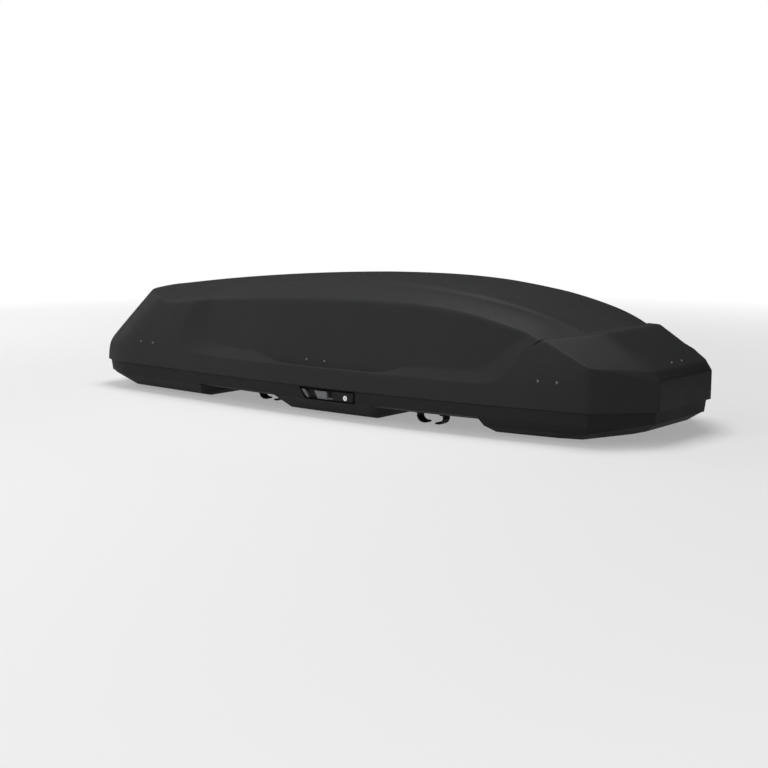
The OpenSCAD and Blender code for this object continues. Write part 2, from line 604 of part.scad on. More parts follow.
module lid_brackets(left) for (i = [0:2]) lid_bracket(i, left);
module lid_brackets_left() color(black) lid_brackets(true);
module lid_brackets_right() color(black) lid_brackets(false);

// ---- Locks: housing in the base's side wall, slide with its latch fingers, handle and key barrel ----
// Outlines run in X and height over the parting plane.
lock_deep = 24;
pocket_deep = 16;
lock_rim = 3;
function xz(list) = [for (p = list) [from_nose(p[0]), p[1]]];
carrier_outline = xz([[1120, -9], [995, -9], [995, -37], [1096.5, -37]]);
marker_outline = xz([[1118.5, -11], [1106, -11], [1085.5, -36.5], [1098, -36.5]]);
grip_outline = xz([[1064, -12], [1015, -12], [1012, -31], [1012, -37], [1050, -37]]);
toe_outline = xz([[1013, -31], [993, -31], [993, -37], [1013, -37]]);
panel_x = from_nose(989);
module wall_prism(outline, y0, y1) translate([0, y1, part_z]) rotate([90, 0, 0])
    linear_extrude(y1 - y0) polygon(outline);
key_x = from_nose(940);
key_drop = 26;
key_r = 8;
// A place on the lock's wall, x along it and deep into it, in the frame of the hinge axis
function wall_place(x, deep) = [lock_mid + (x - lock_mid) * cos(lock_turn) + deep * sin(lock_turn),
    lock_y + (x - lock_mid) * sin(lock_turn) - deep * cos(lock_turn)];
function to_axis(p) = [p[0] * cos(skew) - (p[1] - axis_y_mid) * sin(skew),
    p[0] * sin(skew) + (p[1] - axis_y_mid) * cos(skew)];
key_s = to_axis(wall_place(key_x, lock_deep))[0];
key_t = to_axis(wall_place(key_x, 0))[1];
key_dz = axis_drop - key_drop;
stem_x = from_nose(1046);
stem = [14, 8];
stem_z = part_z - 33;
stem_deep = 34;
module lock_housing(left) lock_frame(left) difference() {
    union() {
        difference() {
            lock_prism(0, -lock_deep, -0.5);
            lock_prism(-lock_rim, -pocket_deep, 1);
        }
        intersection() {
            lock_prism(-1, -pocket_deep - 1, -0.5);
            translate([panel_x, -lock_deep, 0]) cube([length, lock_deep, part_z]);
        }
    }
    translate([panel_x - 1, -pocket_deep, part_z - 38]) cube([lock_travel + 5, pocket_deep - 3.5, 30]);
    translate([key_x, 5, part_z - key_drop]) rotate([90, 0, 0])
        cylinder(r = key_r + run_gap, h = lock_deep + 10);
    translate([stem_x - stem[0] / 2 - 3, -lock_deep - 5, stem_z - 1])
        cube([stem[0] + lock_travel + 6, lock_deep, stem[1] + 2]);
}
module lock_housing_left() color(black) lock_housing(true);
module lock_housing_right() color(black) lock_housing(false);

module lock_handle(left) lock_frame(left) {
    wall_prism(carrier_outline, 0.3 - pocket_deep, 3 - pocket_deep);
    wall_prism(marker_outline, 2.9 - pocket_deep, -4);
    wall_prism(grip_outline, 2.9 - pocket_deep, -2.5);
    wall_prism(toe_outline, 2.9 - pocket_deep, -5.5);
    translate([stem_x - stem[0] / 2, -stem_deep, stem_z])
        cube([stem[0], stem_deep - pocket_deep + 1, stem[1]]);
}
module lock_handle_left() color(grey) lock_handle(true);
module lock_handle_right() color(grey) lock_handle(false);

rod_t = 17.2;
rod = [2.5, 12];
finger = [10, 27, 6];
finger_lift = pin_r + 1.2;
finger_at = pin_span[0] - 4 - finger[0];
crank_r = 12;
peg_r = 2.5;
gate_r = peg_r + 0.6;
// The gate: a Z of slots that the key's peg follows, and that traps the slide at either end when turned.
module gate_slots() {
    for (d = [0, -lock_travel]) translate([d, 0]) intersection() {
        difference() { circle(r = crank_r + gate_r); circle(r = crank_r - gate_r); }
        square(2 * crank_r);
    }
    for (p = [[crank_r, 0], [0, crank_r], [crank_r - lock_travel, 0], [-lock_travel, crank_r]])
        translate(p) circle(r = gate_r);
    translate([crank_r - lock_travel, -gate_r]) square([lock_travel, 2 * gate_r]);
}
gate_low = -9;
gate_high = 20;
stem_s = to_axis(wall_place(stem_x, stem_deep))[0];
stem_t = to_axis(wall_place(stem_x, stem_deep))[1] - 0.2;
module lock_slide(left) axis_frame(left) {
    difference() {
        union() {
            translate([hinge_s[0] + finger_at, rod_t, 0])
                cube([hinge_s[2] - hinge_s[0] + finger[0], rod[0], rod[1]]);
            translate([key_s - lock_travel - 8, rod_t, key_dz + gate_low])
                cube([lock_travel + crank_r + 16, rod[0], gate_high - gate_low]);
        }
        translate([key_s, rod_t + rod[0] + 1, key_dz]) rotate([90, 0, 0])
            linear_extrude(rod[0] + 2) gate_slots();
    }
    for (s = hinge_s) translate([s + finger_at, rod_t + rod[0] - finger[1], finger_lift]) cube(finger);
    translate([stem_s - 10, rod_t, -16]) cube([20, rod[0], 20]);
    translate([stem_s - 8, rod_t, -14]) cube([16, stem_t - rod_t, 4]);
}
module lock_slide_left() color(steel) lock_slide(true);
module lock_slide_right() color(steel) lock_slide(false);

keyway = [8, 2, 8];
module key_barrel(left) axis_frame(left) translate([key_s, 0, key_dz]) rotate([-90, 0, 0]) {
    difference() {
        translate([0, 0, key_t - lock_deep]) cylinder(r = key_r, h = lock_deep - 1);
        translate([-keyway[0] / 2, -keyway[1] / 2, key_t - keyway[2]]) cube(keyway);
    }
    translate([0, 0, rod_t + rod[0] + 4]) cylinder(r = 4, h = key_t - lock_deep - rod_t - rod[0] - 4);
    translate([0, 0, rod_t + rod[0] + 1]) linear_extrude(3) union() {
        circle(r = 6);
        translate([0, -4]) square([crank_r, 8]);
        translate([crank_r, 0]) circle(r = 4);
    }
    translate([crank_r, 0, rod_t - 1]) cylinder(r = peg_r, h = rod[0] + 2);
}
module key_barrel_left() color(steel) key_barrel(true);
module key_barrel_right() color(steel) key_barrel(false);

// ---- Lid lifters: a parallelogram of two arms whose elbow lies on the far hinge axis ----
lifter_x = [from_tail(lifter_rear), from_nose(lifter_front)];
elbow_side = [1, -1];
arm_w = 16;
bar_w = 11;
arm_t = 4;
arm_gap = 0.9;
pivot_r = 4;
pivot_gap = 0.6;
function arm_angle(i) = atan(lifter_rise / axis_y(lifter_x[i]));
function arm_length(i) = sqrt(pow(lifter_rise, 2) + pow(axis_y(lifter_x[i]), 2));
// A flat bar from the origin along X with round ends, holes at both and a long lightening slot.
module arm_outline(len, r_near, r_far) difference() {
    union() {
        circle(d = arm_w);
        translate([len, 0]) circle(d = arm_w);
        translate([0, -bar_w / 2]) square([len, bar_w]);
    }
    circle(r = r_near);
    translate([len, 0]) circle(r = r_far);
    translate([30, -2.5]) square([len - 60, 5]);
}
// Draws an outline in the cross plane at x: its X runs towards the elbow, at the angle a above level.
module in_cross_plane(x, side, z, a) translate([x, 0, z]) mirror([0, side > 0 ? 0 : 1, 0])
    rotate([90, 0, 90]) rotate([0, 0, a]) children();
module lower_arm(i) {
    in_cross_plane(lifter_x[i] + arm_gap, elbow_side[i], axis_z - lifter_rise, arm_angle(i))
        linear_extrude(arm_t) arm_outline(arm_length(i), pivot_r + pivot_gap, pivot_r - 0.5);
    elbow_y = elbow_side[i] * axis_y(lifter_x[i]);
    translate([lifter_x[i] - arm_gap - arm_t - 2.5, elbow_y, axis_z]) rotate([0, 90, 0]) {
        cylinder(r = pivot_r, h = 2 * arm_gap + 2 * arm_t + 3.5);
        cylinder(r = pivot_r + 3, h = 1.5);
    }
}
module upper_arm(i)
    in_cross_plane(lifter_x[i] - arm_gap - arm_t, elbow_side[i], axis_z + lifter_rise, -arm_angle(i))
        linear_extrude(arm_t) arm_outline(arm_length(i), pivot_r + pivot_gap, pivot_r + pivot_gap);
module lifter_base_bracket(i) {
    x = lifter_x[i] + arm_gap;
    z = axis_z - lifter_rise;
    for (d = [-4, arm_t + 1]) translate([x + d, 0, 0]) difference() {
        translate([0, -14, 22]) cube([3, 28, z - 22]);
        translate([-1, 0, z - 14]) rotate([0, 90, 0]) cylinder(r = 4, h = 5);
    }
    for (d = [-4, arm_t + 1]) translate([x + d, 0, z]) rotate([0, 90, 0]) cylinder(r = 14, h = 3);
    translate([x - 5.5, 0, z]) rotate([0, 90, 0])
        cylinder(r = pivot_r, h = arm_t + 11 + 2 * wire_r * coils + 2);
    intersection() {
        translate([x - 18, -26, 0]) cube([arm_t + 36, 52, 24]);
        if (i == 0) rear_pod(base_wall + seat_gap); else front_pod(base_wall + seat_gap);
    }
}
strap_w = 40;
seat_z = part_z + brow[1] + (brow[0] - nose_rivet_x) * tan(-nose_fall) - nose_skin;
module lifter_lid_bracket(i) {
    x = lifter_x[i] - arm_gap - arm_t - bracket_t - 1;
    z = axis_z + lifter_rise;
    down = bracket_t / 2 + 0.1;
    path = i == 1
        ? [[nose_rivet_x - 8, seat_z + 8 * tan(-nose_fall) - down * 1.2],
            [nose_rivet_x - 40, seat_z + 20 * tan(-nose_fall) - down], [x + 1.5, z + 40], [x + 1.5, z - 9]]
        : [[tail + 9.5, part_z + 22], [x + 1.5 - 30, part_z + 22], [x + 1.5, z + 12], [x + 1.5, z - 9]];
    difference() {
        translate([0, strap_w / 2, 0]) rotate([90, 0, 0]) linear_extrude(strap_w) strip(path, bracket_t);
        translate([x - 5, 0, z]) rotate([0, 90, 0]) cylinder(r = pivot_r - 0.5, h = 12);
    }
    if (i == 1) nose_seat_frame() rotate([90, 0, 90]) seat_flange(end_pitch);
    else tail_seat_frame() seat_flange(end_pitch);
    translate([x, 0, z]) rotate([0, 90, 0]) cylinder(r = pivot_r, h = bracket_t + 1 + arm_t + 1.5);
}
// Torsion spring round the floor pivot, one leg down the bracket and one under the arm.
wire_r = 1.2;
coil_r = 6;
coils = 4;
coil_pitch = 1.9 * wire_r;
module lifter_spring(i) translate([lifter_x[i] + 2 * arm_gap + arm_t + 4, 0, axis_z - lifter_rise])
    mirror([0, elbow_side[i] > 0 ? 0 : 1, 0]) {
        for (k = [0:coils - 1]) translate([wire_r + coil_pitch * k, 0, 0]) rotate([0, 90, 0])
            rotate_extrude() translate([coil_r, 0]) circle(r = wire_r);
        translate([wire_r, 0, -coil_r]) rotate([-90, 0, 0]) cylinder(r = wire_r, h = 21);
        translate([-arm_t - 5, 20, -coil_r]) rotate([0, 90, 0]) cylinder(r = wire_r, h = arm_t + 7);
        translate([wire_r + coil_pitch * (coils - 1), -coil_r, -26]) cylinder(r = wire_r, h = 26);
    }
module lifter_base_bracket_front() color(black) lifter_base_bracket(1);
module lifter_base_bracket_rear() color(black) lifter_base_bracket(0);
module lifter_lower_arm_front() color(steel) lower_arm(1);
module lifter_lower_arm_rear() color(steel) lower_arm(0);
module lifter_upper_arm_front() color(steel) upper_arm(1);
module lifter_upper_arm_rear() color(steel) upper_arm(0);
module lifter_lid_bracket_front() color(black) lifter_lid_bracket(1);
module lifter_lid_bracket_rear() color(black) lifter_lid_bracket(0);
module lifter_spring_front() color(steel) lifter_spring(1);
module lifter_spring_rear() color(steel) lifter_spring(0);

// ---- Clamps ----
under_z = part_z - floor_drop;
plate_top = plate_z + 0.1 + plate_t;
claw_pivot = [bar_width / 2 + 9, under_z - 7.5];
claw_w = 30;
claw_t = 5;
neck_l = 60;
module clamp_frame(i, left) translate([clamp_x[i], left ? clamp_y : -clamp_y, 0]) children();
module rounded(l, w, r) union() {
    square([l - 2 * r, w], center = true);
    square([l, w - 2 * r], center = true);
    for (a = [-1, 1]) for (b = [-1, 1]) translate([a * (l / 2 - r), b * (w / 2 - r)]) circle(r = r);
}
pad_h = 3;
foot_h = 6;
foot_top = under_z - 0.3;
tower_h = 26;
module clamp_carriage() difference() {
    union() {
        translate([0, 0, plate_top + 0.3]) linear_extrude(7) rounded(92, 56, 10);
        translate([0, 0, plate_top + 7]) cylinder(r1 = 25, r2 = 20, h = tower_h - 7);
        translate([0, 0, foot_top - 1]) linear_extrude(plate_top - foot_top + 3)
            rounded(neck_l, slot_width - 2, 6);
        translate([0, 0, foot_top - foot_h]) linear_extrude(foot_h) rounded(bar_width + 2, 46, 4);
        for (a = [0, 1]) for (b = [-1, 1]) mirror([a, 0, 0])
            translate([bar_width / 2 + 0.5, b * (claw_w / 2 + 3.3) - 2.5, claw_pivot[1] - 5])
                cube([15, 5, foot_top - claw_pivot[1] + 5]);
        for (a = [-1, 1]) translate([a * claw_pivot[0], 0, claw_pivot[1]]) rotate([90, 0, 0])
            cylinder(r = 2.5, h = claw_w + 8, center = true);
    }
    translate([0, 0, plate_top + 4]) cylinder(r = 9, h = tower_h);
}
module clamp_pad() translate([0, 0, foot_top - foot_h - pad_h - 0.1])
    linear_extrude(pad_h) rounded(bar_width - 14, 42, 5);
module clamp_knob() translate([0, 0, plate_top + tower_h + 0.5]) {
    translate([0, 0, -14]) cylinder(r = 8.5, h = 15);
    cylinder(r = 19, h = 8);
    translate([0, 0, 6]) linear_extrude(14) rounded(62, 13, 6);
    translate([0, 0, 6]) cylinder(r = 11, h = 14);
}
// A claw runs down outside the crossbar and turns in under it.
hook = [[0, 0], [2, -16], [-4, -26], [-14, -31], [-30, -31.5]];
module clamp_claw(dir) translate([dir * claw_pivot[0], claw_w / 2, claw_pivot[1]]) rotate([90, 0, 0])
    mirror([dir > 0 ? 0 : 1, 0, 0]) linear_extrude(claw_w) difference() {
        union() {
            circle(r = 5.5);
            strip(hook, claw_t);
        }
        circle(r = 2.5 + run_gap);
    }
module clamp_carriage_front_left() color(black) clamp_frame(1, true) clamp_carriage();
module clamp_pad_front_left() color(black) clamp_frame(1, true) clamp_pad();
module clamp_knob_front_left() color(grey) clamp_frame(1, true) clamp_knob();
module clamp_claw_fore_front_left() color(black) clamp_frame(1, true) clamp_claw(1);
module clamp_claw_aft_front_left() color(black) clamp_frame(1, true) clamp_claw(-1);
module clamp_carriage_front_right() color(black) clamp_frame(1, false) clamp_carriage();
module clamp_pad_front_right() color(black) clamp_frame(1, false) clamp_pad();
module clamp_knob_front_right() color(grey) clamp_frame(1, false) clamp_knob();
module clamp_claw_fore_front_right() color(black) clamp_frame(1, false) clamp_claw(1);
module clamp_claw_aft_front_right() color(black) clamp_frame(1, false) clamp_claw(-1);
module clamp_carriage_rear_left() color(black) clamp_frame(0, true) clamp_carriage();
module clamp_pad_rear_left() color(black) clamp_frame(0, true) clamp_pad();
module clamp_knob_rear_left() color(grey) clamp_frame(0, true) clamp_knob();
module clamp_claw_fore_rear_left() color(black) clamp_frame(0, true) clamp_claw(1);
module clamp_claw_aft_rear_left() color(black) clamp_frame(0, true) clamp_claw(-1);
module clamp_carriage_rear_right() color(black) clamp_frame(0, false) clamp_carriage();
module clamp_pad_rear_right() color(black) clamp_frame(0, false) clamp_pad();
module clamp_knob_rear_right() color(grey) clamp_frame(0, false) clamp_knob();
module clamp_claw_fore_rear_right() color(black) clamp_frame(0, false) clamp_claw(1);
module clamp_claw_aft_rear_right() color(black) clamp_frame(0, false) clamp_claw(-1);

lid_shell();
roof_bows();
lid_rivets();
lid_brackets_left();
lid_brackets_right();
hinge_pins_left();
hinge_pins_right();
base_shell();
floor_plates();
rim_seal();
hinge_housings_left();
hinge_housings_right();
rotary_claws_left();
rotary_claws_right();
lock_housing_left();
lock_housing_right();
lock_slide_left();
lock_slide_right();
lock_handle_left();
lock_handle_right();
key_barrel_left();
key_barrel_right();
lifter_base_bracket_front();
lifter_lower_arm_front();
lifter_upper_arm_front();
lifter_lid_bracket_front();
lifter_spring_front();
lifter_base_bracket_rear();
lifter_lower_arm_rear();
lifter_upper_arm_rear();
lifter_lid_bracket_rear();
lifter_spring_rear();
clamp_carriage_front_left();
clamp_pad_front_left();
clamp_knob_front_left();
clamp_claw_fore_front_left();
clamp_claw_aft_front_left();
clamp_carriage_front_right();
clamp_pad_front_right();
clamp_knob_front_right();
clamp_claw_fore_front_right();
clamp_claw_aft_front_right();
clamp_carriage_rear_left();
clamp_pad_rear_left();
clamp_knob_rear_left();
clamp_claw_fore_rear_left();
clamp_claw_aft_rear_left();
clamp_carriage_rear_right();
clamp_pad_rear_right();
clamp_knob_rear_right();
clamp_claw_fore_rear_right();
clamp_claw_aft_rear_right();
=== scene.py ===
"""Looks of a roof cargo box: its finer lid skin, its finishes, the studio and the camera."""

import logging
import math
from dataclasses import dataclass, field
from enum import Enum, IntEnum

import bmesh
import bpy
import numpy as np
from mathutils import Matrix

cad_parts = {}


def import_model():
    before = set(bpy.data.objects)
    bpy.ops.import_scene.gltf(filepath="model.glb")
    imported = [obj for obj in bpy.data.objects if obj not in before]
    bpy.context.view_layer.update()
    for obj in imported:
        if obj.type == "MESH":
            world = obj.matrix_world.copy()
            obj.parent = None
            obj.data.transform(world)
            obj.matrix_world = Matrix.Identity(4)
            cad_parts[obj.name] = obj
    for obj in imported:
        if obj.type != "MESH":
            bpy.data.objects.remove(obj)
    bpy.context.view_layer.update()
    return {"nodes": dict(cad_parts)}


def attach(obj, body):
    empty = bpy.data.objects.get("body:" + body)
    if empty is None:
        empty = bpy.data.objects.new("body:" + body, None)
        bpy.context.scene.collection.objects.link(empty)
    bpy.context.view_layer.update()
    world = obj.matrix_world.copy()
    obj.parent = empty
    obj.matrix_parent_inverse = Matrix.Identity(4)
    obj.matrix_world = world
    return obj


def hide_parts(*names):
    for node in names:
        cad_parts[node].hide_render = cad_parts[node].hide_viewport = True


LOG = logging.getLogger("cargo_box")
MM = 0.001
WELD_MM = 0.05
Array = np.ndarray


# ---- Finishes ----
class Grain(Enum):
    """How the surface of a finish is broken up close to."""

    LEATHERY = "leathery"
    PEEL = "peel"
    BRUSHED = "brushed"
    SPANGLE = "spangle"


class NodeBoard:
    """A material's node tree, with short calls for the few nodes that the finishes use."""

    def __init__(self, name: str) -> None:
        """Starts an empty board with a shader and an output.

        Args:
            name: the material's name.
        """
        self.material = bpy.data.materials.new(name)
        self.material.use_nodes = True
        self.tree = self.material.node_tree
        self.shader = self.tree.nodes["Principled BSDF"]
        self.place = self.tree.nodes.new("ShaderNodeTexCoord").outputs["Object"]

    def link(self, start: bpy.types.NodeSocket, end: bpy.types.NodeSocket) -> None:
        """Joins two sockets."""
        self.tree.links.new(start, end)

    def stretched(self, scale: tuple[float, float, float]) -> bpy.types.NodeSocket:
        """Stretches the object coordinates.

        Args:
            scale: factor along each axis.

        Returns:
            The stretched coordinates.
        """
        node = self.tree.nodes.new("ShaderNodeMapping")
        node.inputs["Scale"].default_value = scale
        self.link(self.place, node.inputs["Vector"])
        return node.outputs["Vector"]

    def noise(self, scale: float, detail: float = 3.0, rough: float = 0.5,
              place: bpy.types.NodeSocket | None = None) -> bpy.types.NodeSocket:
        """Adds a noise texture.

        Args:
            scale: waves per metre.
            detail: number of finer octaves.
            rough: strength of the finer octaves.
            place: coordinates, or None for the object's own.

        Returns:
            The noise as a number from 0 to 1.
        """
        node = self.tree.nodes.new("ShaderNodeTexNoise")
        node.inputs["Scale"].default_value = scale
        node.inputs["Detail"].default_value = detail
        node.inputs["Roughness"].default_value = rough
        self.link(place or self.place, node.inputs["Vector"])
        return node.outputs["Fac"]

    def cells(self, scale: float, place: bpy.types.NodeSocket | None = None) -> bpy.types.NodeSocket:
        """Adds a cell texture.

        Args:
            scale: cells per metre.
            place: coordinates, or None for the object's own.

        Returns:
            The distance to the nearest cell's centre.
        """
        node = self.tree.nodes.new("ShaderNodeTexVoronoi")
        node.inputs["Scale"].default_value = scale
        self.link(place or self.place, node.inputs["Vector"])
        return node.outputs["Distance"]

    def span(self, value: bpy.types.NodeSocket, low: float, high: float,
             start: float = 0.3, end: float = 0.7) -> bpy.types.NodeSocket:
        """Maps a number from start..end to low..high.

        Args:
            value: the number.
            low: result at start and below it.
            high: result at end and above it.
            start: the value that gives low.
            end: the value that gives high.

        Returns:
            The mapped number.
        """
        node = self.tree.nodes.new("ShaderNodeMapRange")
        for name, number in (("From Min", start), ("From Max", end), ("To Min", low), ("To Max", high)):
            node.inputs[name].default_value = number
        self.link(value, node.inputs["Value"])
        return node.outputs["Result"]

    def blend(self, share: bpy.types.NodeSocket, first: object, second: object) -> bpy.types.NodeSocket:
        """Mixes two colours.

        Args:
            share: 0 gives the first colour and 1 the second.
            first: a colour or a socket.
            second: a colour or a socket.

        Returns:
            The mixed colour.
        """
        node = self.tree.nodes.new("ShaderNodeMix")
        node.data_type = "RGBA"
        self.link(share, node.inputs["Factor"])
        for name, colour in (("A", first), ("B", second)):
            socket = next(s for s in node.inputs if s.name == name and s.type == "RGBA")
            if isinstance(colour, bpy.types.NodeSocket):
                self.link(colour, socket)
            else:
                socket.default_value = (*colour, 1.0)
        return next(s for s in node.outputs if s.type == "RGBA")

    def bump(self, height: bpy.types.NodeSocket, depth: float, strength: float = 1.0,
             below: bpy.types.NodeSocket | None = None) -> bpy.types.NodeSocket:
        """Adds a bump.

        Args:
            height: the relief, from 0 to 1.
            depth: its depth in metres.
            strength: how much of it shows.
            below: the normal of a bump under it, or None.

        Returns:
            The normal.
        """
        node = self.tree.nodes.new("ShaderNodeBump")
        node.inputs["Distance"].default_value = depth
        node.inputs["Strength"].default_value = strength
        self.link(height, node.inputs["Height"])
        if below is not None:
            self.link(below, node.inputs["Normal"])
        return node.outputs["Normal"]


@dataclass(frozen=True)
class Finish:
    """One finish: two close tones, a range of roughness and a grain.

    grain_mm is the grain's size and depth_mm its depth. The tone wanders in patches of patch_mm and the
    roughness in patches of wander_mm, and scuff_mm is the width of the scuffs.
    """

    name: str
    tone: tuple[float, float, float]
    worn: tuple[float, float, float]
    rough: tuple[float, float]
    grain: Grain
    grain_mm: float
    depth_mm: float
    metal: float = 0.0
    gloss: float = 0.3
    patch_mm: float = 260.0
    scuff_mm: float = 18.0
    wander_mm: float = 55.0
    grain_strength: float = 0.7
    drawn_out: tuple[float, float, float] = (0.25, 1.0, 1.0)
    brushed_out: tuple[float, float, float] = (0.04, 1.0, 1.0)

    def height(self, board: NodeBoard) -> bpy.types.NodeSocket:
        """Builds the grain: pits, orange peel, brush lines or crystals, at its size in mm.

        Args:
            board: the board that the nodes go on.

        Returns:
            The height, from 0 to 1.
        """
        waves = 1.0 / (self.grain_mm * MM)
        if self.grain is Grain.LEATHERY:
            return board.span(board.cells(waves), 0.0, 1.0, 0.1, 0.75)
        if self.grain is Grain.PEEL:
            return board.noise(waves, 1.0, 0.4)
        if self.grain is Grain.BRUSHED:
            return board.noise(waves, 2.0, 0.6, board.stretched(self.brushed_out))
        return board.span(board.cells(waves), 1.0, 0.0, 0.0, 0.6)

    def build(self) -> bpy.types.Material:
        """Builds the material: tone and roughness wander in soft patches, with scuffs and a fine grain.

        Returns:
            The material.
        """
        board = NodeBoard(self.name)
        patches = board.noise(1.0 / (self.patch_mm * MM), 4.0, 0.55)
        scuffs = board.noise(1.0 / (self.scuff_mm * MM), 6.0, 0.7, board.stretched(self.drawn_out))
        tone = board.blend(board.span(patches, 0.0, 0.55), self.tone, self.worn)
        tone = board.blend(board.span(scuffs, 0.0, 0.6, 0.62, 0.8), tone, self.worn)
        board.link(tone, board.shader.inputs["Base Color"])
        fine = self.height(board)
        rough = board.span(board.noise(1.0 / (self.wander_mm * MM), 5.0, 0.6), self.rough[0], self.rough[1])
        board.link(rough, board.shader.inputs["Roughness"])
        board.shader.inputs["Metallic"].default_value = self.metal
        board.shader.inputs["Specular IOR Level"].default_value = self.gloss
        board.link(board.bump(fine, self.depth_mm * MM, self.grain_strength), board.shader.inputs["Normal"])
        return board.material


SHELL = Finish("shell_charcoal", (0.027, 0.0275, 0.0275), (0.031, 0.0315, 0.0315), (0.5, 0.58),
               Grain.LEATHERY, 0.9, 0.09, gloss=0.1)
UNDERSIDE = Finish("base_charcoal", (0.022, 0.0225, 0.0225), (0.027, 0.0275, 0.0275), (0.54, 0.64),
                   Grain.LEATHERY, 1.3, 0.14, gloss=0.08)
MOULDED = Finish("moulded_black", (0.012, 0.0122, 0.0125), (0.021, 0.021, 0.021), (0.4, 0.55),
                 Grain.PEEL, 0.8, 0.05, gloss=0.12, patch_mm=70.0)
GRIP = Finish("grip_grey", (0.17, 0.176, 0.182), (0.2, 0.206, 0.212), (0.38, 0.5),
              Grain.LEATHERY, 0.6, 0.04, patch_mm=50.0)
COATED = Finish("coated_steel", (0.014, 0.014, 0.0145), (0.024, 0.024, 0.024), (0.34, 0.46),
                Grain.PEEL, 1.1, 0.06, patch_mm=60.0)
ZINC = Finish("zinc_steel", (0.42, 0.43, 0.44), (0.33, 0.34, 0.36), (0.28, 0.45),
              Grain.SPANGLE, 2.2, 0.02, metal=1.0, patch_mm=30.0)
BRIGHT = Finish("bright_steel", (0.72, 0.73, 0.74), (0.62, 0.63, 0.65), (0.16, 0.26),
                Grain.BRUSHED, 0.4, 0.008, metal=1.0, patch_mm=20.0)
ALUMINIUM = Finish("mill_aluminium", (0.6, 0.61, 0.62), (0.5, 0.51, 0.53), (0.3, 0.42),
                   Grain.BRUSHED, 0.5, 0.02, metal=1.0, patch_mm=90.0)
RIVET = Finish("rivet_grey", (0.11, 0.11, 0.112), (0.15, 0.15, 0.153), (0.34, 0.46),
               Grain.PEEL, 0.5, 0.02, patch_mm=9.0)
RUBBER = Finish("seal_rubber", (0.011, 0.011, 0.011), (0.02, 0.02, 0.02), (0.66, 0.8),
                Grain.PEEL, 0.5, 0.04, patch_mm=40.0)
# Near-black matt finish: painted shade for the ring that stands in for the shadow in the gap round each
# lock's housing.
GAP_SHADE_PAINT = Finish("painted_gap_shade", (0.004, 0.004, 0.004), (0.006, 0.006, 0.006), (0.85, 0.95),
                Grain.PEEL, 0.3, 0.02, gloss=0.02, patch_mm=9.0)


class Paintbox:
    """Builds each finish once and puts it on CAD nodes or new pieces."""

    def __init__(self) -> None:
        """Starts with no material built."""
        self.built: dict[str, bpy.types.Material] = {}

    def material(self, finish: Finish) -> bpy.types.Material:
        """Builds a finish's material at its first use and keeps it.

        Args:
            finish: the finish wanted.

        Returns:
            The material.
        """
        if finish.name not in self.built:
            self.built[finish.name] = finish.build()
        return self.built[finish.name]

    def dress(self, nodes: dict, finish: Finish, *stems: str) -> None:
        """Gives a finish to every node whose name starts with one of the stems.

        Args:
            nodes: the frame's nodes by name.
            finish: the finish to wear.
            stems: beginnings of node names.
        """
        for name in sorted(nodes):
            if name.startswith(stems):
                mesh = nodes[name].data
                mesh.materials.clear()
                mesh.materials.append(self.material(finish))
                LOG.info("dressed %s in %s", name, finish.name)


# ---- The lid's lines, in mm, over the parting plane ----
def mix(a: object, b: object, t: object) -> object:
    """Returns the point at share t of the way from a to b."""
    return a + (b - a) * t


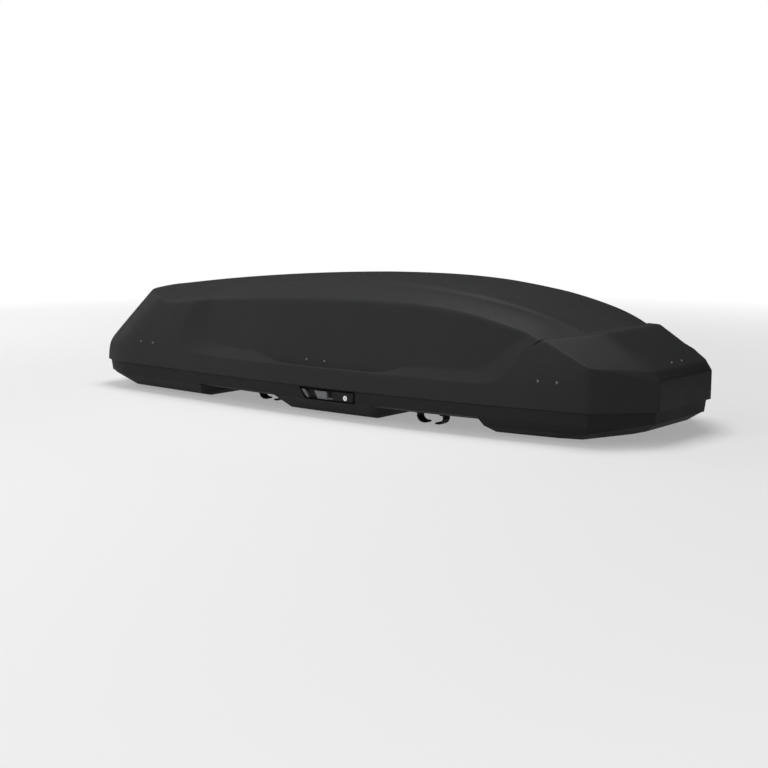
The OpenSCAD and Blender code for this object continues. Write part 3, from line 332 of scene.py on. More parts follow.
@dataclass(frozen=True)
class BoxLines:
    """The lines that the lid's skin follows: x runs to the nose, y to the left, z up from the parting plane.

    A peak is how far a curve's highest point lies behind the nose. A fall pair gives how far the curve drops
    from there to the tail and to the nose.
    """

    length: float = 2150.0
    width: float = 910.0
    height: float = 328.0
    part_z: float = 98.0
    nose_half: float = 158.0
    corner_half: float = 308.0
    corner_x: float = 937.0
    taper: float = 1362.0
    side_lean: float = 60.0
    recess: float = 15.0
    cap_step: float = 4.0
    skirt: float = 60.0
    bevel: float = 32.0
    rim_power: float = 2.1
    lean_power: float = 1.4
    shoulder_below: float = 51.0
    shoulder_peak: float = 900.0
    shoulder_fall: tuple[float, float] = (98.0, 271.0)
    shoulder_power: float = 2.9
    roof_peak: float = 1000.0
    roof_fall: tuple[float, float] = (82.0, 160.0)
    nose_fall: float = 210.0
    panel_half: float = 209.0
    panel_narrowing: float = 36.0
    trough_ends: tuple[float, float] = (230.0, 330.0)
    trough_fade: float = 260.0
    trough_depth: float = 8.0

    @property
    def nose(self) -> float:
        """Returns x of the nose's tip."""
        return self.length / 2

    @property
    def tail(self) -> float:
        """Returns x of the tail's end."""
        return -self.length / 2

    @property
    def shoulder_top(self) -> float:
        """Returns the shoulder line's highest z."""
        return self.height - self.shoulder_below

    def rim_half(self, x: Array) -> Array:
        """Half width of the rim: the corner's, plus 1 less a power of the way through the taper."""
        t = np.clip((x - self.corner_x + self.taper) / self.taper, 0.0, 1.0)
        return self.corner_half + (self.width / 2 - self.corner_half) * (1.0 - t**self.rim_power)

    def ways(self, x: Array, peak: float) -> tuple[Array, Array]:
        """Shares of the way from a peak to both ends.

        Args:
            x: places along the box.
            peak: the peak's distance behind the nose.

        Returns:
            The share of the way to the tail and to the nose, each 0 past the peak.
        """
        top = self.nose - peak
        back = np.clip((top - x) / (top - self.tail), 0.0, None)
        return back, np.clip((x - top) / (self.nose - top), 0.0, None)

    def shoulder(self, x: Array) -> Array:
        """Height of the shoulder line: a parabola to the tail and a steeper power curve to the nose.

        Args:
            x: places along the box.

        Returns:
            The heights.
        """
        back, front = self.ways(x, self.shoulder_peak)
        rear_fall, nose_fall = self.shoulder_fall
        return self.shoulder_top - rear_fall * back**2 - nose_fall * front**self.shoulder_power

    def roof(self, x: Array) -> Array:
        """Height of the panel's edge: a parabola to the tail, a parabola and an eighth power to the nose.

        Args:
            x: places along the box.

        Returns:
            The heights.
        """
        back, front = self.ways(x, self.roof_peak)
        rear_fall, front_fall = self.roof_fall
        return self.height - rear_fall * back**2 - front_fall * front**2 - self.nose_fall * front**8

    def roof_edge(self, x: Array) -> Array:
        """Half width of the roof panel, which narrows by the same amount in each metre towards the nose."""
        reach = (x - (self.nose - self.roof_peak)) / 1000.0
        return self.panel_half - self.panel_narrowing * np.clip(reach, -1.0, 1.0)

    def lean(self, z: Array) -> Array:
        """How far the side has leaned in at height z: a power of the way to the shoulder."""
        return self.side_lean * (np.maximum(z, 0.0) / self.shoulder_top) ** self.lean_power

    def trough(self, x: Array) -> Array:
        """Depth of the trough beside the roof panel, which fades out in a straight line at both ends.

        Args:
            x: places along the box.

        Returns:
            The depths.
        """
        rear = np.clip((x - self.tail - self.trough_ends[0]) / self.trough_fade, 0.0, 1.0)
        front = np.clip((self.nose - self.trough_ends[1] - x) / self.trough_fade, 0.0, 1.0)
        return self.trough_depth * (rear * front)


@dataclass(frozen=True)
class LidNet:
    """The lid's control net: columns from the tail's middle round to the nose corner, 13 rows rim to spine.

    Places along the box are distances from the tail or behind the nose. An inner net follows the outer one
    at a share of the inset that suits each row, so that the wall stays even round the bends.
    """

    lines: BoxLines = field(default_factory=BoxLines)
    rear_outer: tuple = (493.0, 493.0, 445.0, 460.0, 502.0)
    rear_inner: tuple = (588.0, 588.0, 588.0, 550.0, 591.0)
    front_inner: tuple = (474.0, 474.0, 474.0, 412.0, 340.0)
    front_outer: tuple = (445.0, 432.0, 390.0, 355.0, 305.0)
    tail_end: tuple = (334.0, 340.0, 352.0, 390.0, 426.0)
    tail_round: tuple = (175.0, 75.0)
    tail_roof: tuple = (350.0, 165.0, 300.0, 108.0)
    tail_spine: tuple = (419.0, 367.0)
    step_rear: float = 896.0
    step_front: float = 794.0
    step_run: float = 48.0
    step_drop: float = 0.6
    side_end: float = 520.0
    recess_shares: tuple = (0.0, 0.0, 1.0, 0.85, 0.45)
    band_shares: tuple = (0.34, 0.66, 0.87, 1.0)
    band_rises: tuple = (0.52, 0.82, 0.93, 1.0)
    crown: float = 5.0
    cap_side_z: float = 193.0
    cap_edge: tuple = (228.0, 176.0, 206.0)
    cap_spine: tuple = (186.0, 213.0)
    facet_top: tuple = (174.5, 163.4, 208.4)
    facet_spine: float = 166.0
    lip_run: float = 3.0
    facet_run: float = 14.0
    corner_rows: tuple = (110.0, 126.0)
    brow: tuple = (15.0, 113.0)
    nose_top: float = 88.0

    def side_table(self) -> tuple[Array, Array, Array]:
        """Lays out the side's columns.

        Returns:
            x of rows 0 to 4 for each column, its share of the recess depth, and 1 where there is a step.
        """
        b = self.lines
        rows, inside, step = [], [], []

        def add(x: Array, share: float, edge: float) -> None:
            """Adds one column.

            Args:
                x: x of rows 0 to 4, or one x for all.
                share: its share of the recess depth.
                edge: 1 where the recess has a step.
            """
            rows.append(np.broadcast_to(np.asarray(x, float), (5,)))
            inside.append(share)
            step.append(edge)

        rear = b.tail + np.array(self.rear_inner)
        first, last = b.tail + self.step_rear, b.nose - self.step_front
        add(b.tail + np.array(self.tail_end), 0.0, 0.0)
        add(b.tail + np.array(self.rear_outer), 0.0, 0.0)
        add(rear, 1.0, 0.0)
        for k in (1, 2):
            add(mix(rear[0], first - self.step_run, k / 2), 1.0, 0.0)
        for k in range(5):
            add(mix(first, last, k / 4), 1.0, 1.0)
        for k in range(3):
            add(mix(last + self.step_run, b.nose - self.side_end, k / 2), 1.0, 0.0)
        add(b.nose - np.array(self.front_inner), 1.0, 0.0)
        return np.array(rows), np.array(inside), np.array(step)

    def side_points(self, x: Array, inside: Array, step: Array, inset: float) -> Array:
        """Rows 0 to 4 of side columns: rim, skirt, bevel or step, middle and shoulder, less lean and recess.

        Args:
            x: x of rows 0 to 4, one row of the array a column.
            inside: share of the recess depth for each column.
            step: 1 where the recess ends in a step, for each column.
            inset: distance inwards from the outer face.

        Returns:
            Points, shape (columns, 5, 3).
        """
        b = self.lines
        drop = np.where(step > 0, self.step_drop, b.bevel)
        z = np.zeros_like(x)
        z[:, 1] = b.skirt
        z[:, 2] = b.skirt + drop
        z[:, 3] = mix(b.skirt + b.bevel, b.shoulder(x[:, 3]), 0.5)
        z[:, 4] = b.shoulder(x[:, 4])
        deep = b.recess * inside[:, None] * np.array(self.recess_shares)
        y = b.rim_half(x) - b.lean(z) - deep - inset
        z[:, 4] -= 0.6 * inset
        return np.stack([x, y, z], axis=-1)

    def top_points(self, low: Array, edge: Array, spine: Array, inset: float, dip: Array) -> Array:
        """Rows 5 to 12: a rolled band from the shoulder to the roof panel's edge, then the crowned panel.

        Args:
            low: the shoulder points, shape (columns, 3).
            edge: the panel's edge points, shape (columns, 3).
            spine: x on the centre line for each column.
            inset: distance inwards from the outer face.
            dip: depth of the trough for each column.

        Returns:
            Points, shape (columns, 8, 3).
        """
        b = self.lines
        t, rise = np.array(self.band_shares), np.array(self.band_rises)
        band = np.stack([
            low[:, :1] + (edge - low)[:, :1] * t,
            low[:, 1:2] + (edge - low)[:, 1:2] * t - 0.2 * inset,
            low[:, 2:] + (edge - low)[:, 2:] * rise - dip[:, None] * np.array([0.0, 0.0, 1.0, 0.0]) - inset,
        ], axis=-1)
        r = np.array([0.25, 0.5, 0.75, 1.0])
        x = mix(edge[:, :1], spine[:, None], r)
        y = edge[:, 1:2] * (1.0 - r) - np.where(r < 1.0, 0.2 * inset, 0.0)
        z = b.roof(x) + self.crown * (1.0 - (1.0 - r) ** 2) - inset
        return np.concatenate([band, np.stack([x, y, z], axis=-1)], axis=1)

    def side_block(self, inset: float) -> Array:
        """The side's columns.

        Args:
            inset: distance inwards from the outer face.

        Returns:
            Points, shape (columns, 13, 3).
        """
        b = self.lines
        x, inside, step = self.side_table()
        side = self.side_points(x, inside, step, inset)
        top = x[:, 4]
        edge = np.stack([top, b.roof_edge(top), b.roof(top)], axis=-1)
        return np.concatenate([side, self.top_points(side[:, 4], edge, top, inset, b.trough(top))], axis=1)

    def tail_block(self, inset: float) -> Array:
        """Columns round the tail: the turn runs a quarter circle, then the columns close on the middle.

        Args:
            inset: distance inwards from the outer face.

        Returns:
            Points, shape (9, 13, 3), from the middle of the tail to the side.
        """
        b = self.lines
        t = np.array([2.0, 1.5, 1.0, 5 / 6, 4 / 6, 3 / 6, 2 / 6, 1 / 6, 0.0])
        turn = 0.5 * math.pi * np.clip(t, 0.0, 1.0)
        along = 1.0 - np.clip(t - 1.0, 0.0, 1.0)
        s, c = np.sin(turn), np.cos(turn)
        cx = b.tail + self.tail_round[0] - (self.tail_round[0] - inset) * s
        cy = (b.width / 2 - self.tail_round[1] + (self.tail_round[1] - inset) * c) * along
        start = b.tail + self.tail_roof[0]
        ax = start - self.tail_roof[1] * s
        ay = (self.tail_roof[2] + self.tail_roof[3] * c - inset) * along
        az = mix(b.shoulder(np.full_like(s, start)), b.roof(ax) - 8.0, s) - 0.6 * inset
        ex = mix(start + 20.0, ax + 70.0, s)
        ey = np.minimum(ay, b.roof_edge(ex)) * mix(1.0, 0.94, s)
        z = np.stack([0 * az, 0 * az + b.skirt, 0 * az + b.skirt + b.bevel,
                      mix(b.skirt + b.bevel, az, 0.5)], axis=1)
        f = np.stack([0 * az, 0 * az + 0.02, (z[:, 2] - b.skirt) / (az - b.skirt),
                      (z[:, 3] - b.skirt) / (az - b.skirt)], axis=1)
        x = mix(cx[:, None], ax[:, None], f)
        y = mix(cy[:, None], ay[:, None], f) - (1 - s)[:, None] * (b.lean(z) - f * b.lean(az)[:, None])
        low = np.stack([ax, ay, az], axis=-1)
        edge = np.stack([ex, ey, b.roof(ex)], axis=-1)
        spine = b.tail + mix(self.tail_spine[0], self.tail_spine[1], s)
        top = self.top_points(low, edge, spine, inset, np.zeros(len(t)))
        return np.concatenate([np.stack([x, y, z], axis=-1), low[:, None], top], axis=1)

    def cap_column(self, x: Array, side: Array, edge: Array, spine: Array, inset: float) -> Array:
        """One column of the nose cap: side rows, a straight run up to the edge and one across to the spine.

        Args:
            x: x of rows 0 to 4.
            side: its point on the shoulder.
            edge: its point on the roof's edge.
            spine: x and z on the centre line.
            inset: distance inwards from the outer face.

        Returns:
            Points, shape (1, 13, 3).
        """
        low = self.side_points(x[None], np.zeros(1), np.zeros(1), inset)[:, :4]
        t = np.arange(5)[:, None] / 4
        rise = side + (edge - side) * t
        rise[:, 1] -= 0.5 * inset
        rise[:, 2] -= np.where(np.arange(5) == 0, 0.6, 1.0) * inset
        r = np.arange(1, 5) / 4
        flat = np.stack([mix(edge[0], spine[0], r), edge[1] * (1 - r) - np.where(r < 1, 0.5 * inset, 0.0),
                         mix(edge[2], spine[1], r) - inset], axis=-1)
        return np.concatenate([low, rise[None], flat[None]], axis=1)

    def corner_column(self, inset: float) -> Array:
        """The nose corner's column: up the corner, along its brow and across to the middle.

        Args:
            inset: distance inwards from the outer face.

        Returns:
            Points, shape (1, 13, 3).
        """
        b = self.lines
        z = np.array([0.0, b.skirt, b.skirt + b.bevel, *self.corner_rows])
        up = np.stack([np.full(5, b.corner_x + 1 - 0.4 * inset), b.corner_half - 0.05 * b.lean(z) - inset,
                       z], axis=-1)
        up[4, 2] -= 0.6 * inset
        t = np.arange(1, 5) / 4
        brow_x, brow_z = b.nose - self.brow[0], self.brow[1]
        run = np.stack([mix(b.corner_x, brow_x, t) - 0.7 * inset,
                        mix(b.corner_half - 2, b.nose_half, t) - 0.7 * inset,
                        mix(self.corner_rows[1], brow_z, t) - inset], axis=-1)
        across = np.stack([np.full(4, brow_x - 0.7 * inset),
                           b.nose_half * (1 - t) - np.where(t < 1, 0.4 * inset, 0),
                           np.full(4, brow_z - inset)], axis=-1)
        return np.concatenate([up, run, across])[None]

    def cap_block(self, inset: float) -> Array:
        """The cap's rear line, its lip, its facet line, a column between and the corner.

        Args:
            inset: distance inwards from the outer face.

        Returns:
            Points, shape (5, 13, 3).
        """
        b = self.lines
        outer = b.nose - np.array(self.front_outer)
        top_x = outer[4]
        side = np.array([top_x, b.rim_half(top_x) - b.lean(self.cap_side_z), self.cap_side_z])
        edge = np.array([b.nose - self.cap_edge[0], *self.cap_edge[1:]])
        spine = np.array([b.nose - self.cap_spine[0], self.cap_spine[1]])
        lift, on, far = b.cap_step, self.lip_run, self.facet_run
        rear = self.cap_column(outer, side, edge, spine, inset)
        lip = self.cap_column(outer + on, side + [on, 0.0, 0.5 * lift], edge + [on, 0.0, lift],
                              spine + [on, 0.6 * lift], inset)
        top = np.array([b.nose - self.facet_top[0], self.facet_top[1], self.facet_top[2] + 0.5 * lift])
        facet = self.cap_column(outer + far, side + [far, -1.0, 0.5 * lift], top,
                                np.array([b.nose - self.facet_spine, self.cap_spine[1]]), inset)
        corner = self.corner_column(inset)
        between = mix(facet, corner, 0.5)
        bulge = b.rim_half(between[..., 0]) - mix(b.rim_half(facet[..., 0]), b.rim_half(corner[..., 0]), 0.5)
        between[..., 1] += bulge * np.array([1.0, 1.0, 0.8, 0.4] + [0.0] * 9)
        return np.concatenate([rear, lip, facet, between, corner])

    def nose_block(self, inset: float) -> Array:
        """Rows 0 to 4 of the nose's upright faces: 8 columns from beside the corner to the middle.

        Args:
            inset: distance inwards from the outer face.

        Returns:
            Points, shape (8, 5, 3).
        """
        b = self.lines
        k = np.arange(5, 13)
        t = np.clip((k - 4) / 4, 0.0, 1.0)
        across = np.clip((k - 8) / 4, 0.0, 1.0)
        tip = (k > 8).astype(float)
        x = mix(b.corner_x, b.nose, t) - (0.7 + 0.3 * tip) * inset
        y = mix(b.corner_half, b.nose_half, t) * (1 - across)
        y -= np.where(k <= 8, 0.7, np.where(k < 12, 0.4, 0.0)) * inset
        full = self.corner_rows[1]
        top = mix(full, self.nose_top, t)
        z = np.array([0.0, b.skirt, b.skirt + b.bevel, *self.corner_rows]) / full * top[:, None]
        z[:, 4] -= 0.5 * inset
        return np.stack([np.repeat(x[:, None], 5, 1), np.repeat(y[:, None], 5, 1), z], axis=-1)

    def points(self, inset: float) -> tuple[Array, Array]:
        """Returns the main grid, shape (28, 13, 3), and the nose's grid, shape (8, 5, 3)."""
        main = np.concatenate([self.tail_block(inset), self.side_block(inset), self.cap_block(inset)])
        return main, self.nose_block(inset)


class Row(IntEnum):
    """The net's rows that carry a line."""

    SKIRT = 1
    BEVEL = 2
    SHOULDER = 4
    BAND = 7
    PANEL = 8


class Column(IntEnum):
    """The net's columns that carry a line."""

    TAIL_LINE = 3
    BAND_START = 7
    REAR_OUTER = 10
    REAR_INNER = 11
    FRONT_INNER = 22
    CAP_REAR = 23
    LIP = 24
    FACET = 25


class Crease(Enum):
    """How sharp an edge of a control net stays when it is rounded."""

    EASED = 0.4
    CRISP = 0.55
    SHARP = 0.8
    FULL = 1.0


@dataclass
class Patchwork:
    """Quads gathered with the sharpness of their edges, which become one mesh with shared points."""

    points: list = field(default_factory=list)
    faces: list = field(default_factory=list)
    edges: list = field(default_factory=list)
    sharpness: list = field(default_factory=list)
    count: int = 0

    def add_points(self, points: Array) -> Array:
        """Adds points.

        Args:
            points: points, shape (..., 3).

        Returns:
            The points' numbers, in the same shape.
        """
        flat = points.reshape(-1, 3)
        numbers = self.count + np.arange(len(flat)).reshape(points.shape[:-1])
        self.points.append(flat)
        self.count += len(flat)
        return numbers

    def add_grid(self, numbers: Array) -> None:
        """Adds a quad for each cell of a grid of point numbers."""
        quads = np.stack([numbers[:-1, :-1], numbers[1:, :-1], numbers[1:, 1:], numbers[:-1, 1:]], axis=-1)
        self.faces.append(quads.reshape(-1, 4))

    def crease(self, run: Array, crease: Crease) -> None:
        """Makes the edges between neighbours in a run of point numbers that sharp."""
        self.edges.append(np.stack([run[:-1], run[1:]], axis=-1))
        self.sharpness.append(np.full(len(run) - 1, crease.value))

    def mesh(self, name: str, weld: float) -> bpy.types.Mesh:
        """Welds points that share a place, drops what collapsed, turns the shell outwards and makes the mesh.

        Args:
            name: the mesh's name.
            weld: size of the cells, in mm, in which points count as one.

        Returns:
            The mesh in metres, with its creases, and with the shading split along the sharpest of them.
        """
        places = np.concatenate(self.points)
        _, first, number = np.unique(np.round(places / weld), axis=0, return_index=True, return_inverse=True)
        places, number = places[first], number.ravel()
        quads = number[np.concatenate(self.faces)]
        following = np.roll(quads, -1, axis=1)
        keep = quads != following
        kept = keep.sum(axis=1)
        faces = [tuple(q[k]) for q, k, n in zip(quads, keep, kept) if n >= 3]
        mesh = bpy.data.meshes.new(name)
        mesh.from_pydata(places * MM, [], faces)
        self.face_outwards(mesh)
        pairs = np.sort(number[np.concatenate(self.edges)], axis=1)
        values = np.concatenate(self.sharpness)
        size = len(places)
        keys = pairs[:, 0] * size + pairs[:, 1]
        order = np.argsort(keys * 10.0 + values, kind="stable")
        keys, values = keys[order], values[order]
        ends = np.zeros(len(mesh.edges) * 2, np.int32)
        mesh.edges.foreach_get("vertices", ends)
        ends = np.sort(ends.reshape(-1, 2), axis=1)
        wanted = ends[:, 0].astype(np.int64) * size + ends[:, 1]
        spot = np.clip(np.searchsorted(keys, wanted, side="right") - 1, 0, len(keys) - 1)
        found = np.where(keys[spot] == wanted, values[spot], 0.0).astype(np.float32)
        mesh.attributes.new("crease_edge", "FLOAT", "EDGE").data.foreach_set("value", found)
        split = found > (Crease.CRISP.value + Crease.SHARP.value) / 2
        mesh.attributes.new("sharp_edge", "BOOLEAN", "EDGE").data.foreach_set("value", split)
        return mesh

    @staticmethod
    def face_outwards(mesh: bpy.types.Mesh) -> None:
        """Turns every face of a closed mesh outwards.

        Args:
            mesh: the mesh, changed in place.
        """
        work = bmesh.new()
        work.from_mesh(mesh)
        bmesh.ops.recalc_face_normals(work, faces=work.faces)
        work.to_mesh(mesh)
        work.free()


def smooth(piece: bpy.types.Object, levels: int) -> None:
    """Rounds a piece with a subdivision surface and shades it smooth.

    Args:
        piece: the piece.
        levels: how often each face is quartered.
    """
    rounder = piece.modifiers.new("rounding", "SUBSURF")
    rounder.levels = rounder.render_levels = levels
    rounder.boundary_smooth = "ALL"
    piece.data.polygons.foreach_set("use_smooth", np.ones(len(piece.data.polygons), bool))


def place(mesh: bpy.types.Mesh, material: bpy.types.Material) -> bpy.types.Object:
    """Links a mesh as an object of the same name and gives it a material.

    Args:
        mesh: the mesh, in metres, already in its place.
        material: its material.

    Returns:
        The object.
    """
    piece = bpy.data.objects.new(mesh.name, mesh)
    bpy.context.scene.collection.objects.link(piece)
    mesh.materials.append(material)
    return piece


# ---- Sub-assemblies ----
@dataclass
class SubAssembly:
    """A group of pieces. Each entry of wears is a finish and the beginnings of the names that wear it."""

    paint: Paintbox
    wears: tuple = ()

    def build(self, nodes: dict) -> None:
        """Dresses the nodes of the group.

        Args:
            nodes: the frame's nodes by name.
        """
        for finish, *stems in self.wears:
            self.paint.dress(nodes, finish, *stems)


@dataclass
class Lid(SubAssembly):
    """The lid: its rounded skin, the bows under the roof and the rivets."""

    wears: tuple = ((UNDERSIDE, "lid_shell"), (COATED, "roof_bows"), (RIVET, "lid_rivets"))
    net: LidNet = field(default_factory=LidNet)
    wall: float = 4.0
    levels: int = 3

    def half(self, work: Patchwork, inset: float, side: float) -> tuple[Array, Array]:
        """Adds half a skin to the patchwork, with its creases.

        Args:
            work: the patchwork.
            inset: distance inwards from the outer face.
            side: 1 for the left half and -1 for the right.

        Returns:
            Numbers of the main grid's points and of the rim's points from the tail's middle to the nose's.
        """
        main, nose = self.net.points(inset)
        shift = np.array([0.0, 0.0, self.net.lines.part_z])
        flip = np.array([1.0, side, 1.0])
        for grid in (main, nose):
            grid[..., 1] = np.maximum(grid[..., 1], 0.0)
            grid[..., 2] = np.maximum(grid[..., 2], 0.0)
        m = work.add_points((main + shift) * flip)
        f = work.add_points((nose + shift) * flip)
        face = np.concatenate([m[-1:, :5], f])
        work.add_grid(m)
        work.add_grid(face)
        brow = np.stack([face[1:, 4], m[-1, 5:13]], axis=1)
        work.add_grid(brow)
        work.faces.append(np.array([[face[0, 4], face[1, 4], m[-1, 5], m[-1, 5]]]))
        rim = np.concatenate([m[:, 0], f[:, 0]])
        work.crease(rim, Crease.FULL)
        self.crease_side(work, m)
        work.crease(face[:, Row.SHOULDER], Crease.EASED)
        work.crease(m[-1, Row.SHOULDER:], Crease.CRISP)
        work.crease(f[3], Crease.CRISP)
        return m, rim

    def crease_side(self, work: Patchwork, m: Array) -> None:
        """Marks the lid's lines as sharp: shoulder, recess, cap, facets, nose corner and the panel's edge.

        Args:
            work: the patchwork.
            m: numbers of the main grid's points.
        """
        top, to_cap = Row.SHOULDER, Column.CAP_REAR + 1
        for run, crease in (
                (m[:to_cap, top], Crease.CRISP),
                (m[Column.FACET:, top], Crease.CRISP),
                (m[Column.REAR_OUTER:to_cap, Row.SKIRT], Crease.SHARP),
                (m[Column.REAR_INNER:Column.FRONT_INNER + 1, Row.BEVEL], Crease.SHARP),
                (m[Column.REAR_OUTER, Row.SKIRT:top + 1], Crease.SHARP),
                (m[Column.REAR_INNER, Row.BEVEL:top + 1], Crease.SHARP),
                (m[Column.FRONT_INNER, Row.BEVEL:top + 1], Crease.SHARP),
                (m[Column.CAP_REAR, Row.SKIRT:], Crease.SHARP),
                (m[Column.LIP, top:], Crease.SHARP),
                (m[Column.FACET, Row.SKIRT:], Crease.CRISP),
                (m[-1, :top + 1], Crease.CRISP),
                (m[Column.BAND_START:to_cap, Row.BAND], Crease.CRISP),
                (m[Column.TAIL_LINE:to_cap, Row.PANEL], Crease.SHARP)):
            work.crease(run, crease)

    def skin(self) -> bpy.types.Object:
        """Builds the skin: an outer and an inner net, mirrored, joined by a strip round the rim, and rounded.

        Returns:
            The finished piece.
        """
        work = Patchwork()
        for side in (1.0, -1.0):
            _, outer = self.half(work, 0.0, side)
            _, inner = self.half(work, self.wall, side)
            work.add_grid(np.stack([outer, inner], axis=1))
        piece = place(work.mesh("lid_skin", WELD_MM), self.paint.material(SHELL))
        smooth(piece, self.levels)
        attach(piece, "lid")
        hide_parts("lid_shell")
        LOG.info("built %s: %d faces before rounding", piece.name, len(piece.data.polygons))
        return piece

    def build(self, nodes: dict) -> None:
        """Builds the skin and dresses the bows and rivets."""
        self.skin()
        super().build(nodes)


@dataclass
class Base(SubAssembly):
    """The tray under the lid: its shell, its floor plates and its rim seal."""

    wears: tuple = ((UNDERSIDE, "base_shell"), (ALUMINIUM, "floor_plates"), (RUBBER, "rim_seal"))


@dataclass
class Hinges(SubAssembly):
    """The six hinge units: housings, rotary claws, pins and the lid's swan-neck brackets."""

    wears: tuple = ((MOULDED, "hinge_housings"), (GRIP, "rotary_claws"), (ZINC, "hinge_pins"),
                    (COATED, "lid_brackets"))


@dataclass
class Locks(SubAssembly):
    """The lock in each side wall: housing, slide rod, grip and key barrel, with a near-black ring of painted
    shade round the housing that stands in for the shadow in the gap there.

    Sizes are in mm. A lock's own frame lies on the tray's side: along the wall from the lock's middle, out of
    the wall, and up from the parting plane. The window is its outline in that frame.
    """

    wears: tuple = ((MOULDED, "lock_housing"), (ZINC, "lock_slide"), (GRIP, "lock_handle"),
                    (BRIGHT, "key_barrel"))
    middle: float = 61.0
    wall_y: float = 433.116
    turn: float = -4.17271
    part_z: float = 98.0
    window: tuple = ((-112.5, -4.0), (112.5, -4.0), (108.5, -41.0), (-86.5, -41.0))
    # Width, thickness and bed depth of the near-black ring of painted shade round the housing.
    shade_ring_w: float = 4.5
    shade_ring_t: float = 0.35
    shade_ring_bed: float = -0.5
    # Depth in the wall past which the grip's carrier gets painted shade: the housing's black stands in for
    # the pocket's shadow.
    carrier_shade_depth: float = -12.95

    def on_wall(self, along: Array, deep: Array, z: Array, side: float) -> Array:
        """Places points of the lock's own frame on the box.

        Args:
            along: distances along the wall.
            deep: distances out of the wall.
            z: heights over the parting plane.
            side: 1 for the left lock and -1 for the right.

        Returns:
            Points, with the last axis added.
        """
        c, s = math.cos(math.radians(self.turn)), math.sin(math.radians(self.turn))
        return np.stack([self.middle + along * c - deep * s, side * (self.wall_y + along * s + deep * c),
                         self.part_z + z], axis=-1)

    def gap_shade_ring(self, side: float) -> None:
        """Adds painted shade round a lock's housing: a near-black flat ring that stands in for the shadow in
        the gap there, whose outer edge is the window's outline.

        Its section is a rectangle carried round the four corners: the outline, and the same scaled inwards.

        Args:
            side: 1 for the left lock and -1 for the right.
        """
        outer = np.array(self.window)
        centre = outer.mean(axis=0)
        half = np.abs(outer - centre).mean(axis=0)
        inner = centre + (outer - centre) * (1.0 - self.shade_ring_w / half)
        around = np.stack([outer, outer, inner, inner])
        bed, face = self.shade_ring_bed, self.shade_ring_bed + self.shade_ring_t
        deep = np.array([bed, face, face, bed])[:, None] * np.ones((1, 4))
        work = Patchwork()
        numbers = work.add_points(self.on_wall(around[..., 0], deep, around[..., 1], side))
        loop = np.concatenate([numbers, numbers[:1]])
        work.add_grid(np.concatenate([loop, loop[:, :1]], axis=1))
        work.crease(numbers[0], Crease.FULL)
        name = "lock_gap_shade_left" if side > 0 else "lock_gap_shade_right"
        # Painted shade: the ring's near-black finish stands in for the shadow in the gap round the housing.
        piece = place(work.mesh(name, WELD_MM), self.paint.material(GAP_SHADE_PAINT))
        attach(piece, "base")
        LOG.info("built %s", name)

    def paint_carrier_shade(self, nodes: dict) -> None:
        """Paints shade on the flat carrier behind each grip: the carrier lies deep in the pocket, in shadow,
        so it gets the housing's black as painted shade, and grip and marker stay grey.

        A face belongs to the carrier where its middle lies deeper in the wall than the carrier's shade depth.

        Args:
            nodes: the frame's nodes by name.
        """
        normal = math.radians(self.turn)
        for name, side in (("lock_handle_left", 1.0), ("lock_handle_right", -1.0)):
            mesh = nodes[name].data
            mesh.materials.append(self.paint.material(MOULDED))
            centres = np.zeros(3 * len(mesh.polygons))
            mesh.polygons.foreach_get("center", centres)
            x, y, _ = centres.reshape(-1, 3).T / MM
            out = (x - self.middle) * -math.sin(normal) + (side * y - self.wall_y) * math.cos(normal)
            # Painted shade: faces deeper than the carrier's shade depth take the black material.
            mesh.polygons.foreach_set("material_index", (out < self.carrier_shade_depth).astype(np.int32))

    def build(self, nodes: dict) -> None:
        """Dresses the lock pieces, paints shade on the grips' carriers and adds the near-black rings of
        painted gap shade.

        Args:
            nodes: the frame's nodes by name.
        """
        super().build(nodes)
        self.paint_carrier_shade(nodes)
        for side in (1.0, -1.0):
            self.gap_shade_ring(side)


@dataclass
class Lifters(SubAssembly):
    """The two arms that hold the lid up, with their brackets and springs."""

    wears: tuple = ((COATED, "lifter_base_bracket", "lifter_lid_bracket"),
                    (ZINC, "lifter_lower_arm", "lifter_upper_arm", "lifter_spring"))


@dataclass
class Clamps(SubAssembly):
    """The four clamps that hold the box on a pair of bars."""

    wears: tuple = ((MOULDED, "clamp_carriage", "clamp_claw"), (GRIP, "clamp_knob"), (RUBBER, "clamp_pad"))


# ---- Studio ----
@dataclass(frozen=True)
class SoftLight:
    """A square lamp: where it stands, what it points at, its side and its power."""

    name: str
    stand: tuple[float, float, float]
    aim: tuple[float, float, float]
    side: float
    power: float

    def build(self) -> None:
        """Adds the lamp to the scene."""
        lamp = bpy.data.lights.new(self.name, "AREA")
        lamp.size, lamp.energy = self.side, self.power
        holder = bpy.data.objects.new(self.name, lamp)
        bpy.context.scene.collection.objects.link(holder)
        holder.location = self.stand
        away = np.array(self.aim) - np.array(self.stand)
        holder.rotation_euler = (math.atan2(math.hypot(away[0], away[1]), -away[2]), 0.0,
                                 math.atan2(away[1], away[0]) - math.pi / 2)


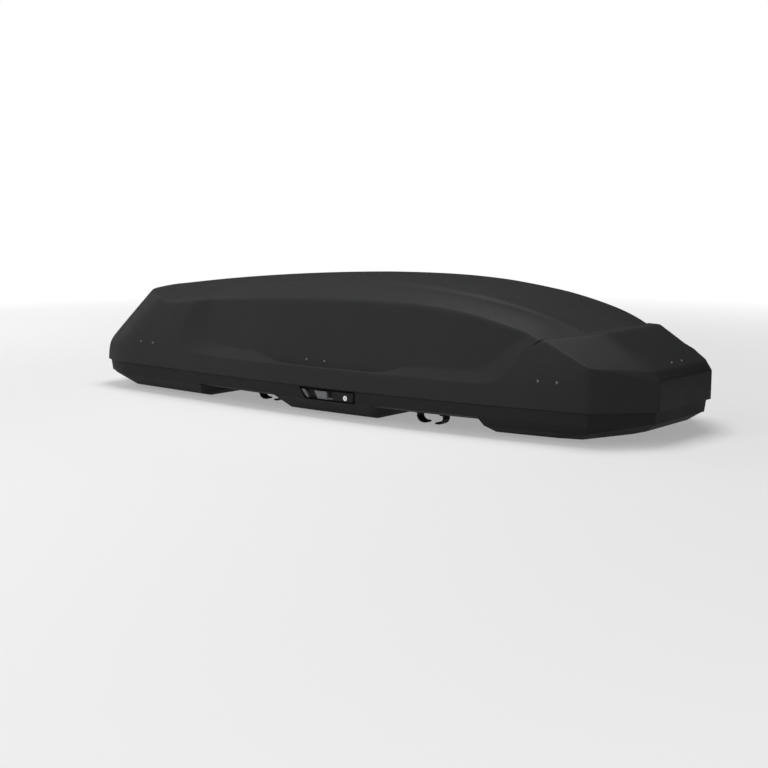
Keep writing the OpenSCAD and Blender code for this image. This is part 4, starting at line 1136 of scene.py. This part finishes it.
@dataclass
class Studio:
    """The pale floor, the white surround, the lamps and the camera."""

    floor_side: float = 60.0
    glow: float = 0.35
    fade: tuple = (1.2, 4.5)
    lens: float = 60.66
    stand: tuple = (2.802, -3.366, 0.7175)
    turn: tuple = (81.40, 0.0, 40.47)
    surround: float = 0.1
    flag_radius: float = 1.75
    flag_height: float = 4.0
    flag_arc: tuple = (5.0, 195.0)
    flag_steps: int = 48
    floor_tone: float = 0.86
    sensor: float = 36.0
    clip: tuple = (0.05, 200.0)
    lamps: tuple = (
        SoftLight("overhead", (0.1, 0.0, 3.8), (0.0, 0.0, 0.2), 2.2, 99.0),
        SoftLight("side", (0.0, -3.1, 2.0), (0.0, 0.0, 0.2), 2.2, 29.0),
        SoftLight("tail", (-3.25, 0.0, 1.7), (0.0, 0.0, 0.2), 2.2, 23.0),
    )

    def camera(self) -> None:
        """Adds the camera and makes it the scene's."""
        data = bpy.data.cameras.new("camera")
        data.lens, data.sensor_width = self.lens, self.sensor
        data.clip_start, data.clip_end = self.clip
        holder = bpy.data.objects.new("camera", data)
        bpy.context.scene.collection.objects.link(holder)
        holder.location = self.stand
        holder.rotation_euler = [math.radians(a) for a in self.turn]
        bpy.context.scene.camera = holder

    def floor(self) -> None:
        """Adds the floor: matt white that glows a little for the camera, and more further from the box.

        The share of glow is glow near the box and rises to 1 between fade[0] and fade[1] metres from the
        middle, so that the floor keeps the box's shadow and runs out into the white surround.
        """
        r = self.floor_side / 2
        mesh = bpy.data.meshes.new("studio_floor")
        mesh.from_pydata([(-r, -r, 0.0), (r, -r, 0.0), (r, r, 0.0), (-r, r, 0.0)], [], [(0, 1, 2, 3)])
        board = NodeBoard("studio_white")
        board.shader.inputs["Base Color"].default_value = (*[self.floor_tone] * 3, 1.0)
        board.shader.inputs["Roughness"].default_value = 0.9
        board.shader.inputs["Specular IOR Level"].default_value = 0.1
        far = board.tree.nodes.new("ShaderNodeVectorMath")
        far.operation = "LENGTH"
        board.link(board.place, far.inputs[0])
        share = board.span(far.outputs["Value"], self.glow, 1.0, *self.fade)
        seen = self.seen_directly(board.tree)
        times = board.tree.nodes.new("ShaderNodeMath")
        times.operation = "MULTIPLY"
        for part, socket in zip((share, seen), times.inputs):
            board.link(part, socket)
        white = board.tree.nodes.new("ShaderNodeEmission")
        both = board.tree.nodes.new("ShaderNodeMixShader")
        board.link(times.outputs[0], both.inputs["Fac"])
        board.link(board.shader.outputs["BSDF"], both.inputs[1])
        board.link(white.outputs["Emission"], both.inputs[2])
        board.link(both.outputs["Shader"], board.tree.nodes["Material Output"].inputs["Surface"])
        place(mesh, board.material)

    def flag(self) -> None:
        """Adds a black curved card behind the box that only reflections see, so that the roof keeps its tone.

        The card is part of an upright cylinder about the box: each angle of the arc gives a point on the
        floor, and the same point again at the card's height.
        """
        turn = np.radians(np.linspace(*self.flag_arc, self.flag_steps + 1))
        low = self.flag_radius * np.stack([np.cos(turn), np.sin(turn), 0.0 * turn], axis=-1)
        high = low + np.array([0.0, 0.0, self.flag_height])
        k = np.arange(len(turn) - 1)
        faces = np.stack([k, k + 1, k + 1 + len(turn), k + len(turn)], axis=-1)
        mesh = bpy.data.meshes.new("studio_flag")
        mesh.from_pydata(np.concatenate([low, high]), [], faces)
        board = NodeBoard("studio_black")
        board.shader.inputs["Base Color"].default_value = (0.0, 0.0, 0.0, 1.0)
        board.shader.inputs["Specular IOR Level"].default_value = 0.0
        card = place(mesh, board.material)
        card.visible_camera = card.visible_diffuse = card.visible_shadow = card.visible_transmission = False

    @staticmethod
    def seen_directly(tree: bpy.types.NodeTree) -> bpy.types.NodeSocket:
        """Adds the test of who looks.

        Args:
            tree: the node tree to add to.

        Returns:
            1 for camera, glossy and transmission rays, and 0 for the rest.
        """
        path = tree.nodes.new("ShaderNodeLightPath")
        found = path.outputs["Is Camera Ray"]
        for kind in ("Is Glossy Ray", "Is Transmission Ray"):
            most = tree.nodes.new("ShaderNodeMath")
            most.operation = "MAXIMUM"
            tree.links.new(found, most.inputs[0])
            tree.links.new(path.outputs[kind], most.inputs[1])
            found = most.outputs[0]
        return found

    def world(self) -> None:
        """Sets the surround: a plain dim light, which camera, glossy and transmission rays see as white."""
        world = bpy.data.worlds.new("surround")
        bpy.context.scene.world = world
        world.use_nodes = True
        tree = world.node_tree
        light = tree.nodes["Background"]
        light.inputs["Color"].default_value = (1.0, 1.0, 1.0, 1.0)
        light.inputs["Strength"].default_value = self.surround
        seen = tree.nodes.new("ShaderNodeBackground")
        seen.inputs["Color"].default_value = (1.0, 1.0, 1.0, 1.0)
        choose = tree.nodes.new("ShaderNodeMixShader")
        tree.links.new(self.seen_directly(tree), choose.inputs["Fac"])
        tree.links.new(light.outputs["Background"], choose.inputs[1])
        tree.links.new(seen.outputs["Background"], choose.inputs[2])
        tree.links.new(choose.outputs["Shader"], tree.nodes["World Output"].inputs["Surface"])

    def build(self) -> None:
        """Builds the studio."""
        self.camera()
        self.floor()
        self.flag()
        self.world()
        for lamp in self.lamps:
            lamp.build()
        bpy.context.scene.view_settings.view_transform = "Standard"
        LOG.info("built the studio with %d lamps", len(self.lamps))


def main() -> None:
    """Loads the frame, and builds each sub-assembly and the studio."""
    logging.basicConfig(level=logging.INFO, format="%(message)s")
    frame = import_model()
    paint = Paintbox()
    for part in (Lid(paint), Base(paint), Hinges(paint), Locks(paint), Lifters(paint), Clamps(paint)):
        part.build(frame["nodes"])
    Studio().build()
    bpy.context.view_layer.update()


if __name__ == "__main__":
    main()
